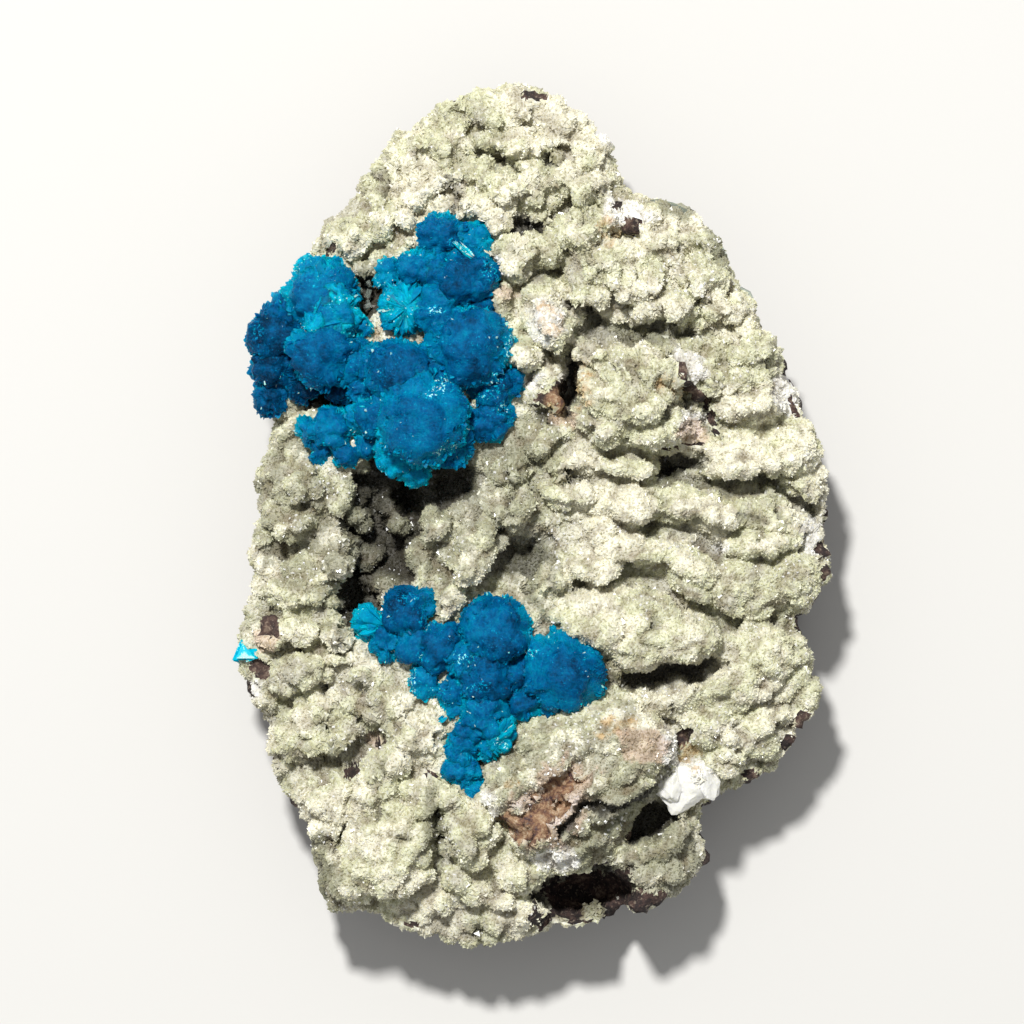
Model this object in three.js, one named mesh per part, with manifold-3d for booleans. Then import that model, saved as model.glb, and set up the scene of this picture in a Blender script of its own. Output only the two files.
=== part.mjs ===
// A cavansite specimen: blue crystal rosettes grown on a lump of basalt that a pale druse covers.
// Millimetres. The lump lies on its flat back with the crystals up; seen from above, +Y is its narrow end.
import * as THREE from "three";
import { mergeVertices } from "three/addons/utils/BufferGeometryUtils.js";
import Module from "manifold-3d";

const wasm = await Module();
wasm.setup();

// Driving dimensions of the lump
const rimHeight = 14; // top of the broken edge above the back
const crownRise = 5; // how much higher the middle of the bed stands
const crownPower = 4; // a high power keeps the bed level until close to the edge
const breakDepth = 2.5; // the broken faces start this far below the rim
const knobSpacing = 3.2; // the druse grows in knobs about this far apart
const knobHeight = 1.3;
const grainSize = 0.15; // unevenness of the druse
const domePower = 0.7; // 0.5 gives a dome round shoulders, 1 a pointed one
const blockFloor = 12; // underside of the cemented block, which overhangs the hollow beside it
const seatGap = 0.3; // clearance between grown-together pieces
const matrixDetail = 18; // splits of each edge of the ball that the lump is spread from
const blockDetail = 7;

// The lump's outline seen from above, clockwise from the narrow end
const lumpOutline = [
  [-1.5, 42.9], [1.4, 42.1], [4.6, 40.1], [5.8, 39.2], [6.0, 38.0], [7.7, 37.1], [8.2, 34.3],
  [9.9, 32.2], [13.3, 31.3], [16.1, 30.0], [18.4, 27.4], [19.4, 25.2], [20.3, 23.2], [22.1, 21.6],
  [22.2, 20.0], [24.6, 16.6], [24.9, 14.3], [25.6, 13.2], [26.8, 11.2], [26.7, 9.8], [28.4, 8.2],
  [29.0, 6.9], [29.4, 2.5], [28.9, -0.6], [29.4, -4.4], [30.0, -5.9], [28.8, -7.4], [27.6, -9.4],
  [26.4, -10.0], [26.3, -11.1], [27.6, -13.0], [28.5, -16.4], [28.9, -18.3], [27.0, -20.9],
  [25.0, -23.9], [24.4, -25.1], [20.3, -27.0], [18.4, -27.6], [16.9, -29.0], [16.6, -30.4],
  [17.1, -34.1], [16.6, -35.7], [13.7, -38.2], [11.4, -39.4], [8.8, -39.1], [7.4, -40.0],
  [4.3, -41.1], [2.5, -40.7], [0.4, -41.8], [-5.9, -43.1], [-8.3, -42.5], [-13.4, -41.0],
  [-15.2, -39.6], [-20.0, -39.4], [-21.1, -37.1], [-21.6, -32.5], [-22.6, -30.4], [-23.8, -28.4],
  [-25.3, -26.5], [-26.2, -23.2], [-25.9, -21.0], [-27.6, -18.6], [-29.3, -14.7], [-28.9, -11.5],
  [-28.3, -9.2], [-27.6, -6.2], [-27.9, -3.0], [-26.9, -0.2], [-27.2, 3.5], [-26.6, 5.5],
  [-25.7, 7.0], [-25.4, 11.0], [-25.2, 15.0], [-24.9, 19.5], [-24.3, 22.8], [-22.2, 25.6],
  [-20.4, 29.6], [-17.8, 30.8], [-16.8, 33.6], [-15.6, 34.7], [-14.2, 36.4], [-13.4, 38.5],
  [-11.7, 38.3], [-8.4, 41.1], [-5.9, 42.1],
];

// Faces along which the lump was broken off: [direction seen from above, lean inwards], in degrees
const breaks = [
  [4, 14], [27, 24], [52, 17], [78, 28], [101, 16], [128, 22], [155, 12], [178, 20], [203, 13],
  [226, 26], [251, 17], [276, 30], [299, 18], [320, 25], [343, 16],
];

// The crusted block that lies cemented across the lump's lower right
const blockCentre = [4.6, -27.2];
const blockOutline = [
  [4.2, -18.6], [7.0, -18.3], [10.6, -18.4], [12.8, -20.1], [14.2, -21.6], [14.3, -24.6],
  [13.2, -26.8], [10.6, -29.4], [9.3, -32.4], [8.3, -34.1], [5.8, -35.3], [3.6, -36.0],
  [0.6, -35.7], [-0.9, -34.6], [-2.7, -31.2], [-4.6, -29.6], [-5.2, -27.6], [-4.4, -25.2],
  [-2.6, -23.8], [-1.0, -20.8], [1.6, -20.0],
];
const blockTop = 22.5; // its upper face
const blockLedge = { from: [-1, -33.2], to: [14, -25.4], drop: 3.4, run: 1.6 }; // the face steps down here
// Lumps on the block: [x, y, long radius, cross radius, turn in degrees, height]
const blockDomes = [
  [8.6, -21.6, 4.6, 2.4, 10, 1.3], [11.0, -24.2, 3.4, 1.8, 30, 1.2], [3.6, -22.4, 3.0, 2.0, 40, 1.2],
  [0.4, -24.8, 3.6, 2.0, 45, 1.3], [-2.6, -27.4, 2.2, 1.6, 50, 1.0], [6.6, -25.6, 3.6, 1.6, 25, 0.9],
  [2.8, -28.4, 3.0, 1.2, 40, 0.7], [8.6, -28.8, 3.6, 1.3, 28, 1.2], [4.4, -32.6, 3.0, 1.6, 20, 1.2],
];

// Broad hollows in the bed: [x, y, long radius, cross radius, turn in degrees, depth]
const hollows = [
  [-15.4, -2.6, 10.5, 4.3, 80, 8.5], // the cave on the left
  [-9.0, 3.0, 5.0, 3.6, 20, 4.5], // its shallow side under the upper rosettes
  [-1.5, -5.2, 4.5, 3.2, 30, 3.6],
  [-16.6, 21.0, 3.6, 2.2, 75, 5.0],
  [-20.0, 12.0, 4.6, 2.2, 0, 5.0],
  [-0.5, 29.5, 2.4, 1.8, 10, 5.4],
  [3.8, 12.8, 1.3, 3.6, 0, 4.2],
  [14.8, 4.8, 3.8, 1.8, 12, 4.4],
  [10.5, 18.2, 8.2, 1.2, -4, 2.8],
  [13.8, -15.6, 6.0, 2.0, 8, 4.6],
  [12.0, -30.4, 4.0, 2.6, 20, 6.5],
  [5.4, -38.0, 6.4, 3.0, 5, 5.5],
];

// Domes of druse on the bed: [x, y, long radius, cross radius, turn in degrees, height]
const domes = [
  // narrow end
  [-4.0, 40.4, 7.0, 2.4, 12, 1.6], [2.6, 39.4, 3.6, 2.2, -36, 1.6], [-9.2, 37.4, 5.0, 2.0, 14, 1.3],
  [-2.6, 37.8, 4.6, 1.6, -10, 1.7], [6.2, 36.6, 2.2, 1.9, 0, 1.7], [-10.0, 34.0, 6.0, 2.3, 6, 1.5],
  [-1.6, 33.3, 5.0, 2.0, 0, 2.5], [4.0, 33.8, 3.0, 2.2, -15, 2.4], [-14.4, 30.2, 5.0, 2.6, 24, 1.6],
  [-6.0, 31.4, 4.0, 1.7, -5, 1.9], [-3.2, 29.9, 2.0, 1.4, -20, 2.2], [-18.0, 28.0, 3.2, 2.2, 40, 1.6],
  // upper right
  [-1.6, 26.0, 3.2, 2.3, -30, 2.4], [1.6, 27.0, 2.0, 1.6, 20, 2.2], [5.6, 29.0, 3.3, 2.3, 10, 2.9],
  [7.6, 26.0, 4.0, 2.3, -10, 3.1], [11.6, 29.4, 3.6, 1.8, -25, 2.1], [12.6, 27.0, 3.0, 2.0, -20, 2.2],
  [17.0, 27.6, 2.8, 2.2, -45, 1.8], [10.0, 23.4, 4.6, 1.8, -5, 2.9], [17.0, 24.2, 3.3, 2.5, -20, 2.3],
  [5.6, 22.6, 2.8, 2.5, -10, 3.2], [12.6, 21.0, 4.2, 1.5, -5, 2.8], [19.0, 21.2, 3.0, 2.0, -25, 2.3],
  [1.4, 19.3, 3.3, 2.6, -62, 4.2], [-2.8, 21.4, 2.6, 1.7, 85, 1.8], [-0.6, 16.2, 2.1, 1.8, 0, 2.4],
  [6.2, 16.2, 2.0, 1.2, 0, 2.2],
  // right side
  [9.6, 11.9, 5.0, 4.0, 0, 4.5], [7.4, 9.3, 3.0, 2.3, -20, 3.6], [12.4, 8.9, 4.0, 2.5, 10, 4.0],
  [12.6, 14.9, 5.0, 1.8, -8, 3.6], [16.4, 14.0, 2.6, 1.9, -35, 3.2], [21.6, 12.4, 3.6, 3.5, 90, 3.1],
  [22.0, 17.0, 2.6, 3.0, 30, 2.2], [22.6, 5.5, 5.6, 2.3, 3, 3.3], [26.4, 6.6, 2.6, 2.8, 0, 2.6],
  [27.0, 2.4, 2.3, 1.6, 0, 2.0], [17.2, 0.8, 5.2, 1.7, -13, 3.1], [10.0, 0.9, 4.8, 1.8, 3, 3.1],
  [24.2, -0.6, 4.6, 1.5, -5, 2.6], [23.2, -2.9, 4.2, 1.5, 12, 2.5], [10.0, -3.6, 4.6, 1.6, -8, 3.0],
  [16.0, -5.2, 4.0, 2.0, -30, 3.1], [6.4, -5.2, 3.2, 1.8, -10, 2.6], [16.2, -7.6, 2.4, 1.4, -30, 2.9],
  [21.0, -7.6, 4.6, 3.0, -10, 2.7], [26.2, -6.6, 2.3, 2.6, 0, 2.2],
  [9.6, -10.8, 7.6, 3.6, -8, 4.3], [14.6, -11.6, 4.4, 2.9, -15, 4.2], [11.2, -13.8, 4.2, 1.5, 0, 3.0],
  [14.2, -18.2, 5.2, 2.1, 5, 2.8], [20.2, -17.0, 5.0, 3.0, 15, 2.6], [24.0, -13.8, 4.0, 2.4, 0, 2.4],
  [18.2, -21.2, 4.2, 2.3, -20, 2.6], [23.2, -21.6, 3.2, 2.0, 40, 2.2], [19.6, -24.8, 2.2, 1.8, 0, 2.0],
  // middle
  [-2.0, 4.7, 2.4, 1.8, -20, 3.1], [0.8, 7.2, 1.9, 1.3, 0, 2.3], [3.4, 5.2, 2.4, 1.6, 0, 2.5],
  [-2.2, 1.1, 2.8, 2.4, 0, 3.8], [4.0, 2.0, 3.2, 1.5, 0, 2.6], [9.4, 4.7, 4.4, 1.2, -5, 2.5],
  [6.8, -1.5, 2.0, 1.6, 0, 2.3], [-2.2, -7.0, 2.4, 1.6, 0, 2.6], [1.8, -6.2, 2.2, 1.5, 0, 2.4],
  [-5.9, -3.4, 3.8, 1.6, 65, 4.4], [-10.2, -1.0, 2.2, 1.4, 10, 3.2], [-8.2, -8.6, 1.7, 2.0, 0, 2.4],
  [-13.8, 0.2, 2.5, 1.3, -62, 4.4],
  // the cave's stalked lumps
  [-17.6, 0.2, 1.5, 1.2, 90, 4.2], [-19.2, -3.6, 2.6, 1.3, 62, 5.6], [-16.8, -3.4, 1.9, 1.2, 8, 4.6],
  [-15.0, -6.8, 2.4, 1.7, -20, 5.0], [-19.0, -11.6, 1.5, 1.3, 90, 3.6],
  // left side
  [-24.0, 3.4, 3.4, 2.6, 0, 3.2], [-24.0, -0.5, 2.8, 2.0, 0, 2.8], [-23.6, -7.0, 3.2, 2.4, 0, 3.2],
  [-24.8, -11.4, 3.2, 1.9, 0, 2.4], [-22.2, -15.4, 3.6, 1.6, 8, 2.2], [-17.0, -15.3, 1.8, 1.3, -25, 1.8],
  [-26.0, -17.3, 2.0, 1.8, -20, 1.2], [-15.4, -18.5, 3.8, 2.0, 12, 2.2], [-22.0, -20.8, 2.8, 1.8, 20, 2.2],
  [-24.2, -23.2, 2.2, 1.8, 0, 1.8], [-19.6, -22.4, 3.4, 1.4, 25, 2.1], [-12.6, -22.2, 2.4, 2.0, -30, 2.4],
  [-10.0, -21.4, 2.6, 1.4, 90, 2.0], [-14.6, -25.2, 3.2, 2.2, 20, 2.8],
  // broad end
  [-20.3, -28.7, 2.4, 2.2, 0, 2.5], [-15.6, -28.2, 2.8, 2.0, 40, 2.6], [-11.0, -28.2, 2.0, 1.8, 0, 3.0],
  [-14.2, -33.6, 5.4, 5.0, 90, 4.6], [-17.6, -36.4, 2.8, 2.6, 0, 3.2], [-21.0, -31.3, 1.9, 1.6, 0, 1.8],
  [-6.4, -31.3, 4.2, 3.4, 75, 4.0], [-8.0, -28.2, 2.0, 1.6, 0, 3.0], [-7.8, -36.4, 1.6, 1.5, 0, 2.4],
  [-5.2, -37.8, 1.8, 1.6, 0, 2.2], [-9.4, -39.2, 1.6, 1.4, 0, 1.7], [-3.2, -38.8, 2.0, 1.7, 0, 2.4],
  [-0.8, -36.6, 1.8, 1.7, 0, 2.4], [-1.6, -40.8, 3.2, 1.3, 8, 1.8], [13.2, -32.8, 3.4, 1.7, 30, 3.4],
  [13.4, -35.6, 3.0, 1.5, 15, 2.4], [16.4, -27.0, 2.0, 2.2, 0, 2.2], [11.6, -38.2, 2.4, 1.0, 8, 2.0],
];

// Narrow grooves between the domes: [half width, depth, then the points of the line]
const grooves = [
  [0.6, 2.6, [4.6, 15.2], [4.2, 13.0], [4.4, 11.0], [3.8, 9.8]],
  [0.5, 2.2, [17.6, 11.0], [18.0, 9.6], [18.1, 8.2]],
  [0.7, 2.6, [13.4, 3.6], [16.5, 3.0], [19.2, 2.0], [24.4, 2.4], [28.4, 0.4]],
  [0.6, 2.2, [12.0, -2.0], [15.2, -2.3], [18.6, -4.3]],
  [0.6, 2.0, [4.2, -7.4], [11.4, -6.5], [14.4, -7.8], [18.4, -10.8], [20.0, -11.2]],
  [0.6, 1.5, [-26.0, -20.0], [-23.0, -19.0], [-18.5, -17.0]],
  [0.7, 1.7, [-24.4, -26.6], [-18.5, -24.8], [-15.0, -22.4]],
  [0.6, 2.0, [-9.8, -30.2], [-9.9, -34.2], [-8.0, -34.8]],
  [0.7, 1.7, [-25.8, -4.0], [-22.6, -3.6], [-20.6, -1.6]],
  [0.6, 1.8, [0.6, 24.8], [3.3, 23.3]],
  [0.6, 2.0, [-1.0, 21.2], [0.0, 18.2], [2.5, 16.2]],
];

// Rosettes, each a ball of blades: [x, y, z, radius]
const upperRosettes = [
  // left group, which overhangs the edge of the lump
  [-21.2, 21.7, 19.2, 3.6], [-25.3, 18.2, 18.6, 2.9], [-24.9, 20.6, 18.2, 1.6], [-25.7, 15.0, 17.8, 2.5],
  [-26.2, 11.9, 16.8, 1.5], [-21.2, 16.2, 21.2, 3.2], [-18.0, 15.4, 20.4, 2.5], [-19.4, 19.7, 21.0, 2.6],
  [-16.8, 18.9, 20.4, 0.9], [-19.2, 21.1, 21.8, 1.9], [-21.4, 18.5, 22.2, 1.6], [-18.9, 18.9, 22.0, 1.6],
  [-21.7, 23.9, 20.0, 1.9], [-16.4, 12.7, 20.6, 1.9], [-22.6, 13.2, 18.0, 1.8], [-18.9, 12.9, 18.4, 1.8],
  // top group
  [-8.9, 27.8, 21.4, 2.4], [-5.9, 27.3, 21.2, 1.9], [-6.5, 23.8, 22.2, 3.2], [-11.2, 24.7, 21.4, 2.3],
  [-14.4, 24.3, 21.0, 1.5], [-12.9, 20.7, 21.6, 2.6], [-9.2, 20.6, 21.8, 2.8], [-9.3, 24.4, 21.4, 2.4],
  [-12.4, 19.0, 21.2, 1.6],
  // right group
  [-6.8, 16.6, 23.4, 3.9], [-9.7, 14.3, 22.4, 2.8], [-3.3, 16.4, 21.8, 2.0], [-3.6, 13.0, 21.6, 2.5],
  [-4.3, 9.6, 21.0, 2.1], [-5.2, 20.8, 21.6, 1.7], [-2.7, 10.6, 20.8, 1.3],
  // bottom group
  [-10.4, 9.8, 24.0, 4.4], [-13.0, 14.0, 23.0, 3.5], [-8.4, 7.2, 21.6, 2.4], [-13.4, 6.2, 21.2, 2.2],
  [-11.6, 4.6, 20.4, 1.5], [-14.8, 10.4, 21.6, 2.6], [-15.6, 14.8, 20.8, 2.4],
  // small group at the lower left
  [-19.8, 8.8, 19.4, 2.4], [-22.0, 8.4, 18.4, 1.7], [-18.8, 6.4, 19.0, 1.6], [-17.0, 9.6, 20.4, 1.9],
  [-20.8, 6.6, 18.2, 1.4], [-16.6, 7.4, 19.4, 1.4],
];
const lowerRosettes = [
  [-12.5, -9.8, 20.2, 2.4], [-16.2, -11.0, 18.8, 1.9], [-14.4, -12.5, 19.4, 1.9], [-3.8, -11.4, 21.2, 3.1],
  [-8.8, -13.3, 20.6, 2.6], [-10.7, -16.2, 19.6, 2.0], [3.7, -14.9, 20.8, 3.6], [-4.6, -16.0, 21.0, 2.9],
  [-4.7, -19.8, 20.6, 2.5], [-3.1, -21.7, 20.2, 2.0], [-6.9, -22.8, 19.8, 2.0], [-6.9, -25.5, 19.2, 1.8],
  [-7.0, -14.3, 21.3, 2.1], [-11.2, -12.9, 20.0, 2.3], [-1.2, -15.2, 20.8, 2.4], [-6.0, -21.4, 20.0, 1.9],
  [-10.6, -9.2, 19.8, 1.5], [-2.0, -10.7, 20.6, 1.5], [5.1, -12.7, 20.4, 1.7], [-8.0, -17.9, 20.0, 1.6],
  [-7.7, -19.4, 19.8, 1.1], [-0.5, -18.5, 20.4, 1.6], [1.8, -18.7, 20.4, 1.5], [-4.2, -23.0, 19.9, 1.6],
  [-5.9, -27.4, 18.8, 1.1],
];
const ballShare = 0.92; // the facets' ball against the ring of crystal tips
const tipVariation = 0.08;
const spinyFrom = 2.7; // smaller balls keep their plain facets
const manyTipsFrom = 4; // balls this big or bigger carry the finer spines

// Single crystals: the outline seen from above, then the underside and the top
const strayBlade = [[[-9.6, -20.5], [-9.3, -20.9], [-6.6, -19.4], [-6.9, -18.9]], 19.6, 20.1];
const edgeCrystals = [
  [[[-30.0, -14.5], [-27.2, -14.5], [-28.2, -12.9], [-29.1, -12.4]], 11.0, 15.6],
  [[[-29.6, -14.3], [-27.6, -14.3], [-28.9, -12.8]], 12.0, 16.4],
];

const degrees = Math.PI / 180;
const clamp = THREE.MathUtils.clamp;

// Distance from the centre to a closed outline, along the direction of angle
function outlineRadius(outline, centre, angle) {
  const [ux, uy] = [Math.cos(angle), Math.sin(angle)];
  let radius = 0;
  outline.forEach(([ax, ay], i) => {
    const [bx, by] = outline[(i + 1) % outline.length];
    const [px, py] = [ax - centre[0], ay - centre[1]];
    const [dx, dy] = [bx - ax, by - ay];
    const across = ux * dy - uy * dx;
    const along = (uy * px - ux * py) / across;
    const reach = (px * dy - py * dx) / across;
    if (along >= -1e-9 && along <= 1 + 1e-9 && reach > radius) radius = reach;
  });
  return radius;
}

// Squared distance from the middle of a turned ellipse, 1 on its edge
function ellipseShare(x, y, [cx, cy, long, cross, turn]) {
  const [c, s] = [Math.cos(turn * degrees), Math.sin(turn * degrees)];
  const along = ((x - cx) * c + (y - cy) * s) / long;
  const over = ((y - cy) * c - (x - cx) * s) / cross;
  return along * along + over * over;
}

function distanceToLine(x, y, points) {
  let nearest = Infinity;
  for (let i = 1; i < points.length; i++) {
    const [ax, ay] = points[i - 1];
    const [dx, dy] = [points[i][0] - ax, points[i][1] - ay];
    const t = clamp(((x - ax) * dx + (y - ay) * dy) / (dx * dx + dy * dy), 0, 1);
    nearest = Math.min(nearest, Math.hypot(x - ax - t * dx, y - ay - t * dy));
  }
  return nearest;
}

// A steady value from -1 to 1 for a place, so that a shared corner moves the same way in each face
function grain(x, y, z) {
  const wave = Math.sin(x * 12.99 + y * 78.23 + z * 37.72) * 43758.55;
  return 2 * (wave - Math.floor(wave)) - 1;
}

// Round knobs about one jittered point in each square of a grid
function knobs(x, y) {
  const [column, row] = [Math.floor(x / knobSpacing), Math.floor(y / knobSpacing)];
  let nearest = Infinity;
  for (let i = column - 1; i <= column + 1; i++) {
    for (let j = row - 1; j <= row + 1; j++) {
      const knobX = (i + 0.5 + 0.35 * grain(i, j, 1)) * knobSpacing;
      const knobY = (j + 0.5 + 0.35 * grain(i, j, 2)) * knobSpacing;
      nearest = Math.min(nearest, Math.hypot(x - knobX, y - knobY));
    }
  }
  return knobHeight * Math.max(0, 1 - (nearest / knobSpacing) ** 2);
}

function domeHeight(x, y, list) {
  let height = 0;
  for (const entry of list) {
    const inside = 1 - ellipseShare(x, y, entry);
    if (inside > 0) height = Math.max(height, entry[5] * inside ** domePower);
  }
  return height;
}

// Height of the druse over the back; share runs from 0 in the middle of the lump to 1 at its edge
function druseHeight(x, y, share) {
  let bed = rimHeight + crownRise * (1 - share ** crownPower);
  for (const hollow of hollows) {
    bed -= hollow[5] * Math.max(0, 1 - ellipseShare(x, y, hollow) ** 2);
  }
  let cut = 0;
  for (const [halfWidth, depth, ...points] of grooves) {
    const across = distanceToLine(x, y, points) / (2 * halfWidth);
    cut = Math.max(cut, depth * Math.max(0, 1 - across * across));
  }
  return bed + domeHeight(x, y, domes) + knobs(x, y) - cut;
}

// Height of the block's upper face, which steps down past its ledge and rounds off at its edge
function blockHeight(x, y, share) {
  const { from, to, drop, run } = blockLedge;
  const [dx, dy] = [to[0] - from[0], to[1] - from[1]];
  const side = (dx * (y - from[1]) - dy * (x - from[0])) / Math.hypot(dx, dy);
  const step = drop * clamp(-side / run, 0, 1);
  return blockTop + domeHeight(x, y, blockDomes) + knobs(x, y) - step - 3 * share ** 6;
}

// Joins the corners that neighbouring faces share
function withoutSeams(geometry) {
  geometry.deleteAttribute("normal");
  geometry.deleteAttribute("uv");
  return mergeVertices(geometry, 1e-4);
}

function solidOf(geometry) {
  const merged = withoutSeams(geometry);
  const mesh = { numProp: 3, vertProperties: merged.attributes.position.array };
  return new wasm.Manifold(new wasm.Mesh({ ...mesh, triVerts: merged.index.array }));
}

function geometryOf(solid) {
  const { vertProperties, triVerts } = solid.getMesh();
  const geometry = new THREE.BufferGeometry();
  geometry.setAttribute("position", new THREE.BufferAttribute(vertProperties, 3));
  geometry.setIndex(new THREE.BufferAttribute(triVerts, 1));
  return geometry;
}

// A thick slab: a ball of even facets whose top is spread over the outline and whose belt becomes the
// side. Its underside is pressed flat a little below the floor, where it is cut.
function slab({ outline, centre, detail, heightAt, floor }) {
  const topEnd = 0.25; // the ball's height where the top ends and the side begins
  const sideEnd = 0.05;
  const ball = withoutSeams(new THREE.IcosahedronGeometry(1, detail));
  const position = ball.getAttribute("position");
  const v = new THREE.Vector3();
  for (let i = 0; i < position.count; i++) {
    v.fromBufferAttribute(position, i).normalize();
    const angle = Math.atan2(v.y, v.x);
    const down = clamp((topEnd - v.z) / (topEnd - sideEnd), 0, 1);
    let share = 1;
    if (v.z > topEnd) share = Math.sqrt((1 - v.z) / (1 - topEnd));
    else if (v.z < sideEnd) share = Math.sqrt((1 + v.z) / (1 + sideEnd));
    const reach = share * outlineRadius(outline, centre, angle);
    const x = centre[0] + reach * Math.cos(angle);
    const y = centre[1] + reach * Math.sin(angle);
    const top = heightAt(x, y, share) + grainSize * grain(x, y, 0);
    position.setXYZ(i, x, y, THREE.MathUtils.lerp(top, floor - 1, down));
  }
  const above = new THREE.BoxGeometry(200, 200, 100).translate(0, 0, floor + 50);
  return solidOf(ball).intersect(solidOf(above));
}

// Everything outside one broken face of the lump, to be cut away
function beyondBreak([direction, lean]) {
  const [ux, uy] = [Math.cos(direction * degrees), Math.sin(direction * degrees)];
  const reach = Math.max(...lumpOutline.map(([x, y]) => x * ux + y * uy));
  const block = new THREE.BoxGeometry(90, 90, 90).translate(45, 0, 0);
  block.rotateY(lean * degrees).rotateZ(direction * degrees);
  return solidOf(block.translate(reach * ux, reach * uy, rimHeight - breakDepth));
}

// A ball whose every facet is raised to a crystal tip
function rosette([x, y, z, radius]) {
  if (radius < spinyFrom) {
    const plain = new THREE.IcosahedronGeometry(radius, 0).rotateZ(x + y).rotateX(y);
    return solidOf(plain.translate(x, y, z));
  }
  const ball = new THREE.IcosahedronGeometry(ballShare * radius, radius < manyTipsFrom ? 0 : 1);
  const facets = ball.getAttribute("position");
  const corners = [];
  const [a, b, c, tip] = [0, 1, 2, 3].map(() => new THREE.Vector3());
  for (let i = 0; i < facets.count; i += 3) {
    [a, b, c].forEach((corner, k) => corner.fromBufferAttribute(facets, i + k));
    tip.copy(a).add(b).add(c);
    tip.setLength(radius * (1 + tipVariation * grain(tip.x + x, tip.y + y, tip.z + z)));
    for (const [p, q] of [[a, b], [b, c], [c, a]]) {
      corners.push(p.x, p.y, p.z, q.x, q.y, q.z, tip.x, tip.y, tip.z);
    }
  }
  const spiny = new THREE.BufferGeometry();
  spiny.setAttribute("position", new THREE.Float32BufferAttribute(corners, 3));
  spiny.rotateZ(x + y).rotateX(y); // no two balls face the same way
  return solidOf(spiny.translate(x, y, z));
}

// A single upright crystal
function prism([outline, bottom, top]) {
  const shape = new THREE.Shape(outline.map(([x, y]) => new THREE.Vector2(x, y)));
  const crystal = new THREE.ExtrudeGeometry(shape, { depth: top - bottom, bevelEnabled: false });
  return solidOf(crystal.translate(0, 0, bottom));
}

const joined = (solids) => solids.reduce((whole, next) => whole.add(next));

function matrixSolid() {
  const lump = slab({
    outline: lumpOutline, centre: [0, 0], detail: matrixDetail, heightAt: druseHeight, floor: 0,
  });
  const block = slab({
    outline: blockOutline, centre: blockCentre, detail: blockDetail, heightAt: blockHeight, floor: blockFloor,
  });
  return breaks.reduce((rest, face) => rest.subtract(beyondBreak(face)), lump.add(block));
}

// The same solid with its skin moved outwards
function swollen(solid, distance) {
  const skin = geometryOf(solid);
  skin.computeVertexNormals();
  const position = skin.getAttribute("position");
  const [corner, normal] = [new THREE.Vector3(), new THREE.Vector3()];
  for (let i = 0; i < position.count; i++) {
    normal.fromBufferAttribute(skin.getAttribute("normal"), i);
    corner.fromBufferAttribute(position, i).addScaledVector(normal, distance);
    position.setXYZ(i, corner.x, corner.y, corner.z);
  }
  return solidOf(skin).add(solid);
}

// The largest piece only, so that a sliver cut off by the lump doesn't float
function mainPiece(solid) {
  return solid.decompose().sort((a, b) => b.volume() - a.volume())[0];
}

const matrix = matrixSolid();
const seat = swollen(matrix, seatGap);
const seated = (solids) => mainPiece(joined(solids).subtract(seat));

const druseFinish = new THREE.MeshStandardMaterial({ color: "#c9c7a2", roughness: 0.55 });
const cavansiteFinish = new THREE.MeshStandardMaterial({ color: "#0b6fa6", roughness: 0.3 });

const specimen = new THREE.Group();
function addPiece(name, solid, material) {
  const mesh = new THREE.Mesh(geometryOf(solid), material);
  mesh.name = name;
  specimen.add(mesh);
}
addPiece("matrix", matrix, druseFinish);
addPiece("upper_cavansite", seated(upperRosettes.map(rosette)), cavansiteFinish);
addPiece("lower_cavansite", seated([...lowerRosettes.map(rosette), prism(strayBlade)]), cavansiteFinish);
addPiece("edge_cavansite", seated(edgeCrystals.map(prism)), cavansiteFinish);

// The origin is the middle of the back: centre the whole on it
const box = new THREE.Box3().setFromObject(specimen);
const middle = box.getCenter(new THREE.Vector3());
for (const mesh of specimen.children) mesh.geometry.translate(-middle.x, -middle.y, -box.min.z);

export default specimen;
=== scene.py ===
# A cavansite specimen lying on its back: blue crystal rosettes on a lump of basalt that a pale druse covers
import itertools
import math
import bmesh
import bpy
import numpy as np
from mathutils import Matrix, Vector


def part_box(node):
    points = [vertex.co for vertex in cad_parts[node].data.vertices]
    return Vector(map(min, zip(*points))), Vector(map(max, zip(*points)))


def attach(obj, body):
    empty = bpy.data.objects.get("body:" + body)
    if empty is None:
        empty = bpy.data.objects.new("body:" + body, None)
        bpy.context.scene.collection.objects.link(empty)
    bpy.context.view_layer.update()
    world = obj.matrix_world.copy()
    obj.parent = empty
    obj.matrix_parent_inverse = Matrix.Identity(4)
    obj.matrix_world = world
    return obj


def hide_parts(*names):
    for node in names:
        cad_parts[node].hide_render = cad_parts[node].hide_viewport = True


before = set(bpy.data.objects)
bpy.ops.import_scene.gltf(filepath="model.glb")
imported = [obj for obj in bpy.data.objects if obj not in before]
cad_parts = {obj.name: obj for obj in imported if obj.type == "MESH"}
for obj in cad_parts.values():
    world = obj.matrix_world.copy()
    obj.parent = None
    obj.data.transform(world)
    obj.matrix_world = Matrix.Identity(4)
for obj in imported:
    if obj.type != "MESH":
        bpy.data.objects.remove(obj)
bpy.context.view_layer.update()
mm = 0.001
scene = bpy.context.scene

# The outermost corner of the crystals on the left edge ties the lump's own plan to the frame
edgeCorner = (-30.0, -14.5)
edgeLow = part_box("edge_cavansite")[0] / mm
planShift = np.array([edgeLow.x - edgeCorner[0], edgeLow.y - edgeCorner[1], 0.0])
print("frame loaded, plan shift in mm:", planShift.round(3))


# Colours and nodes

def paint(hexColour):
    channels = [int(hexColour[i:i + 2], 16) / 255 for i in (1, 3, 5)]
    linear = [c / 12.92 if c <= 0.04045 else ((c + 0.055) / 1.055) ** 2.4 for c in channels]
    return (*linear, 1.0)


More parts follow.
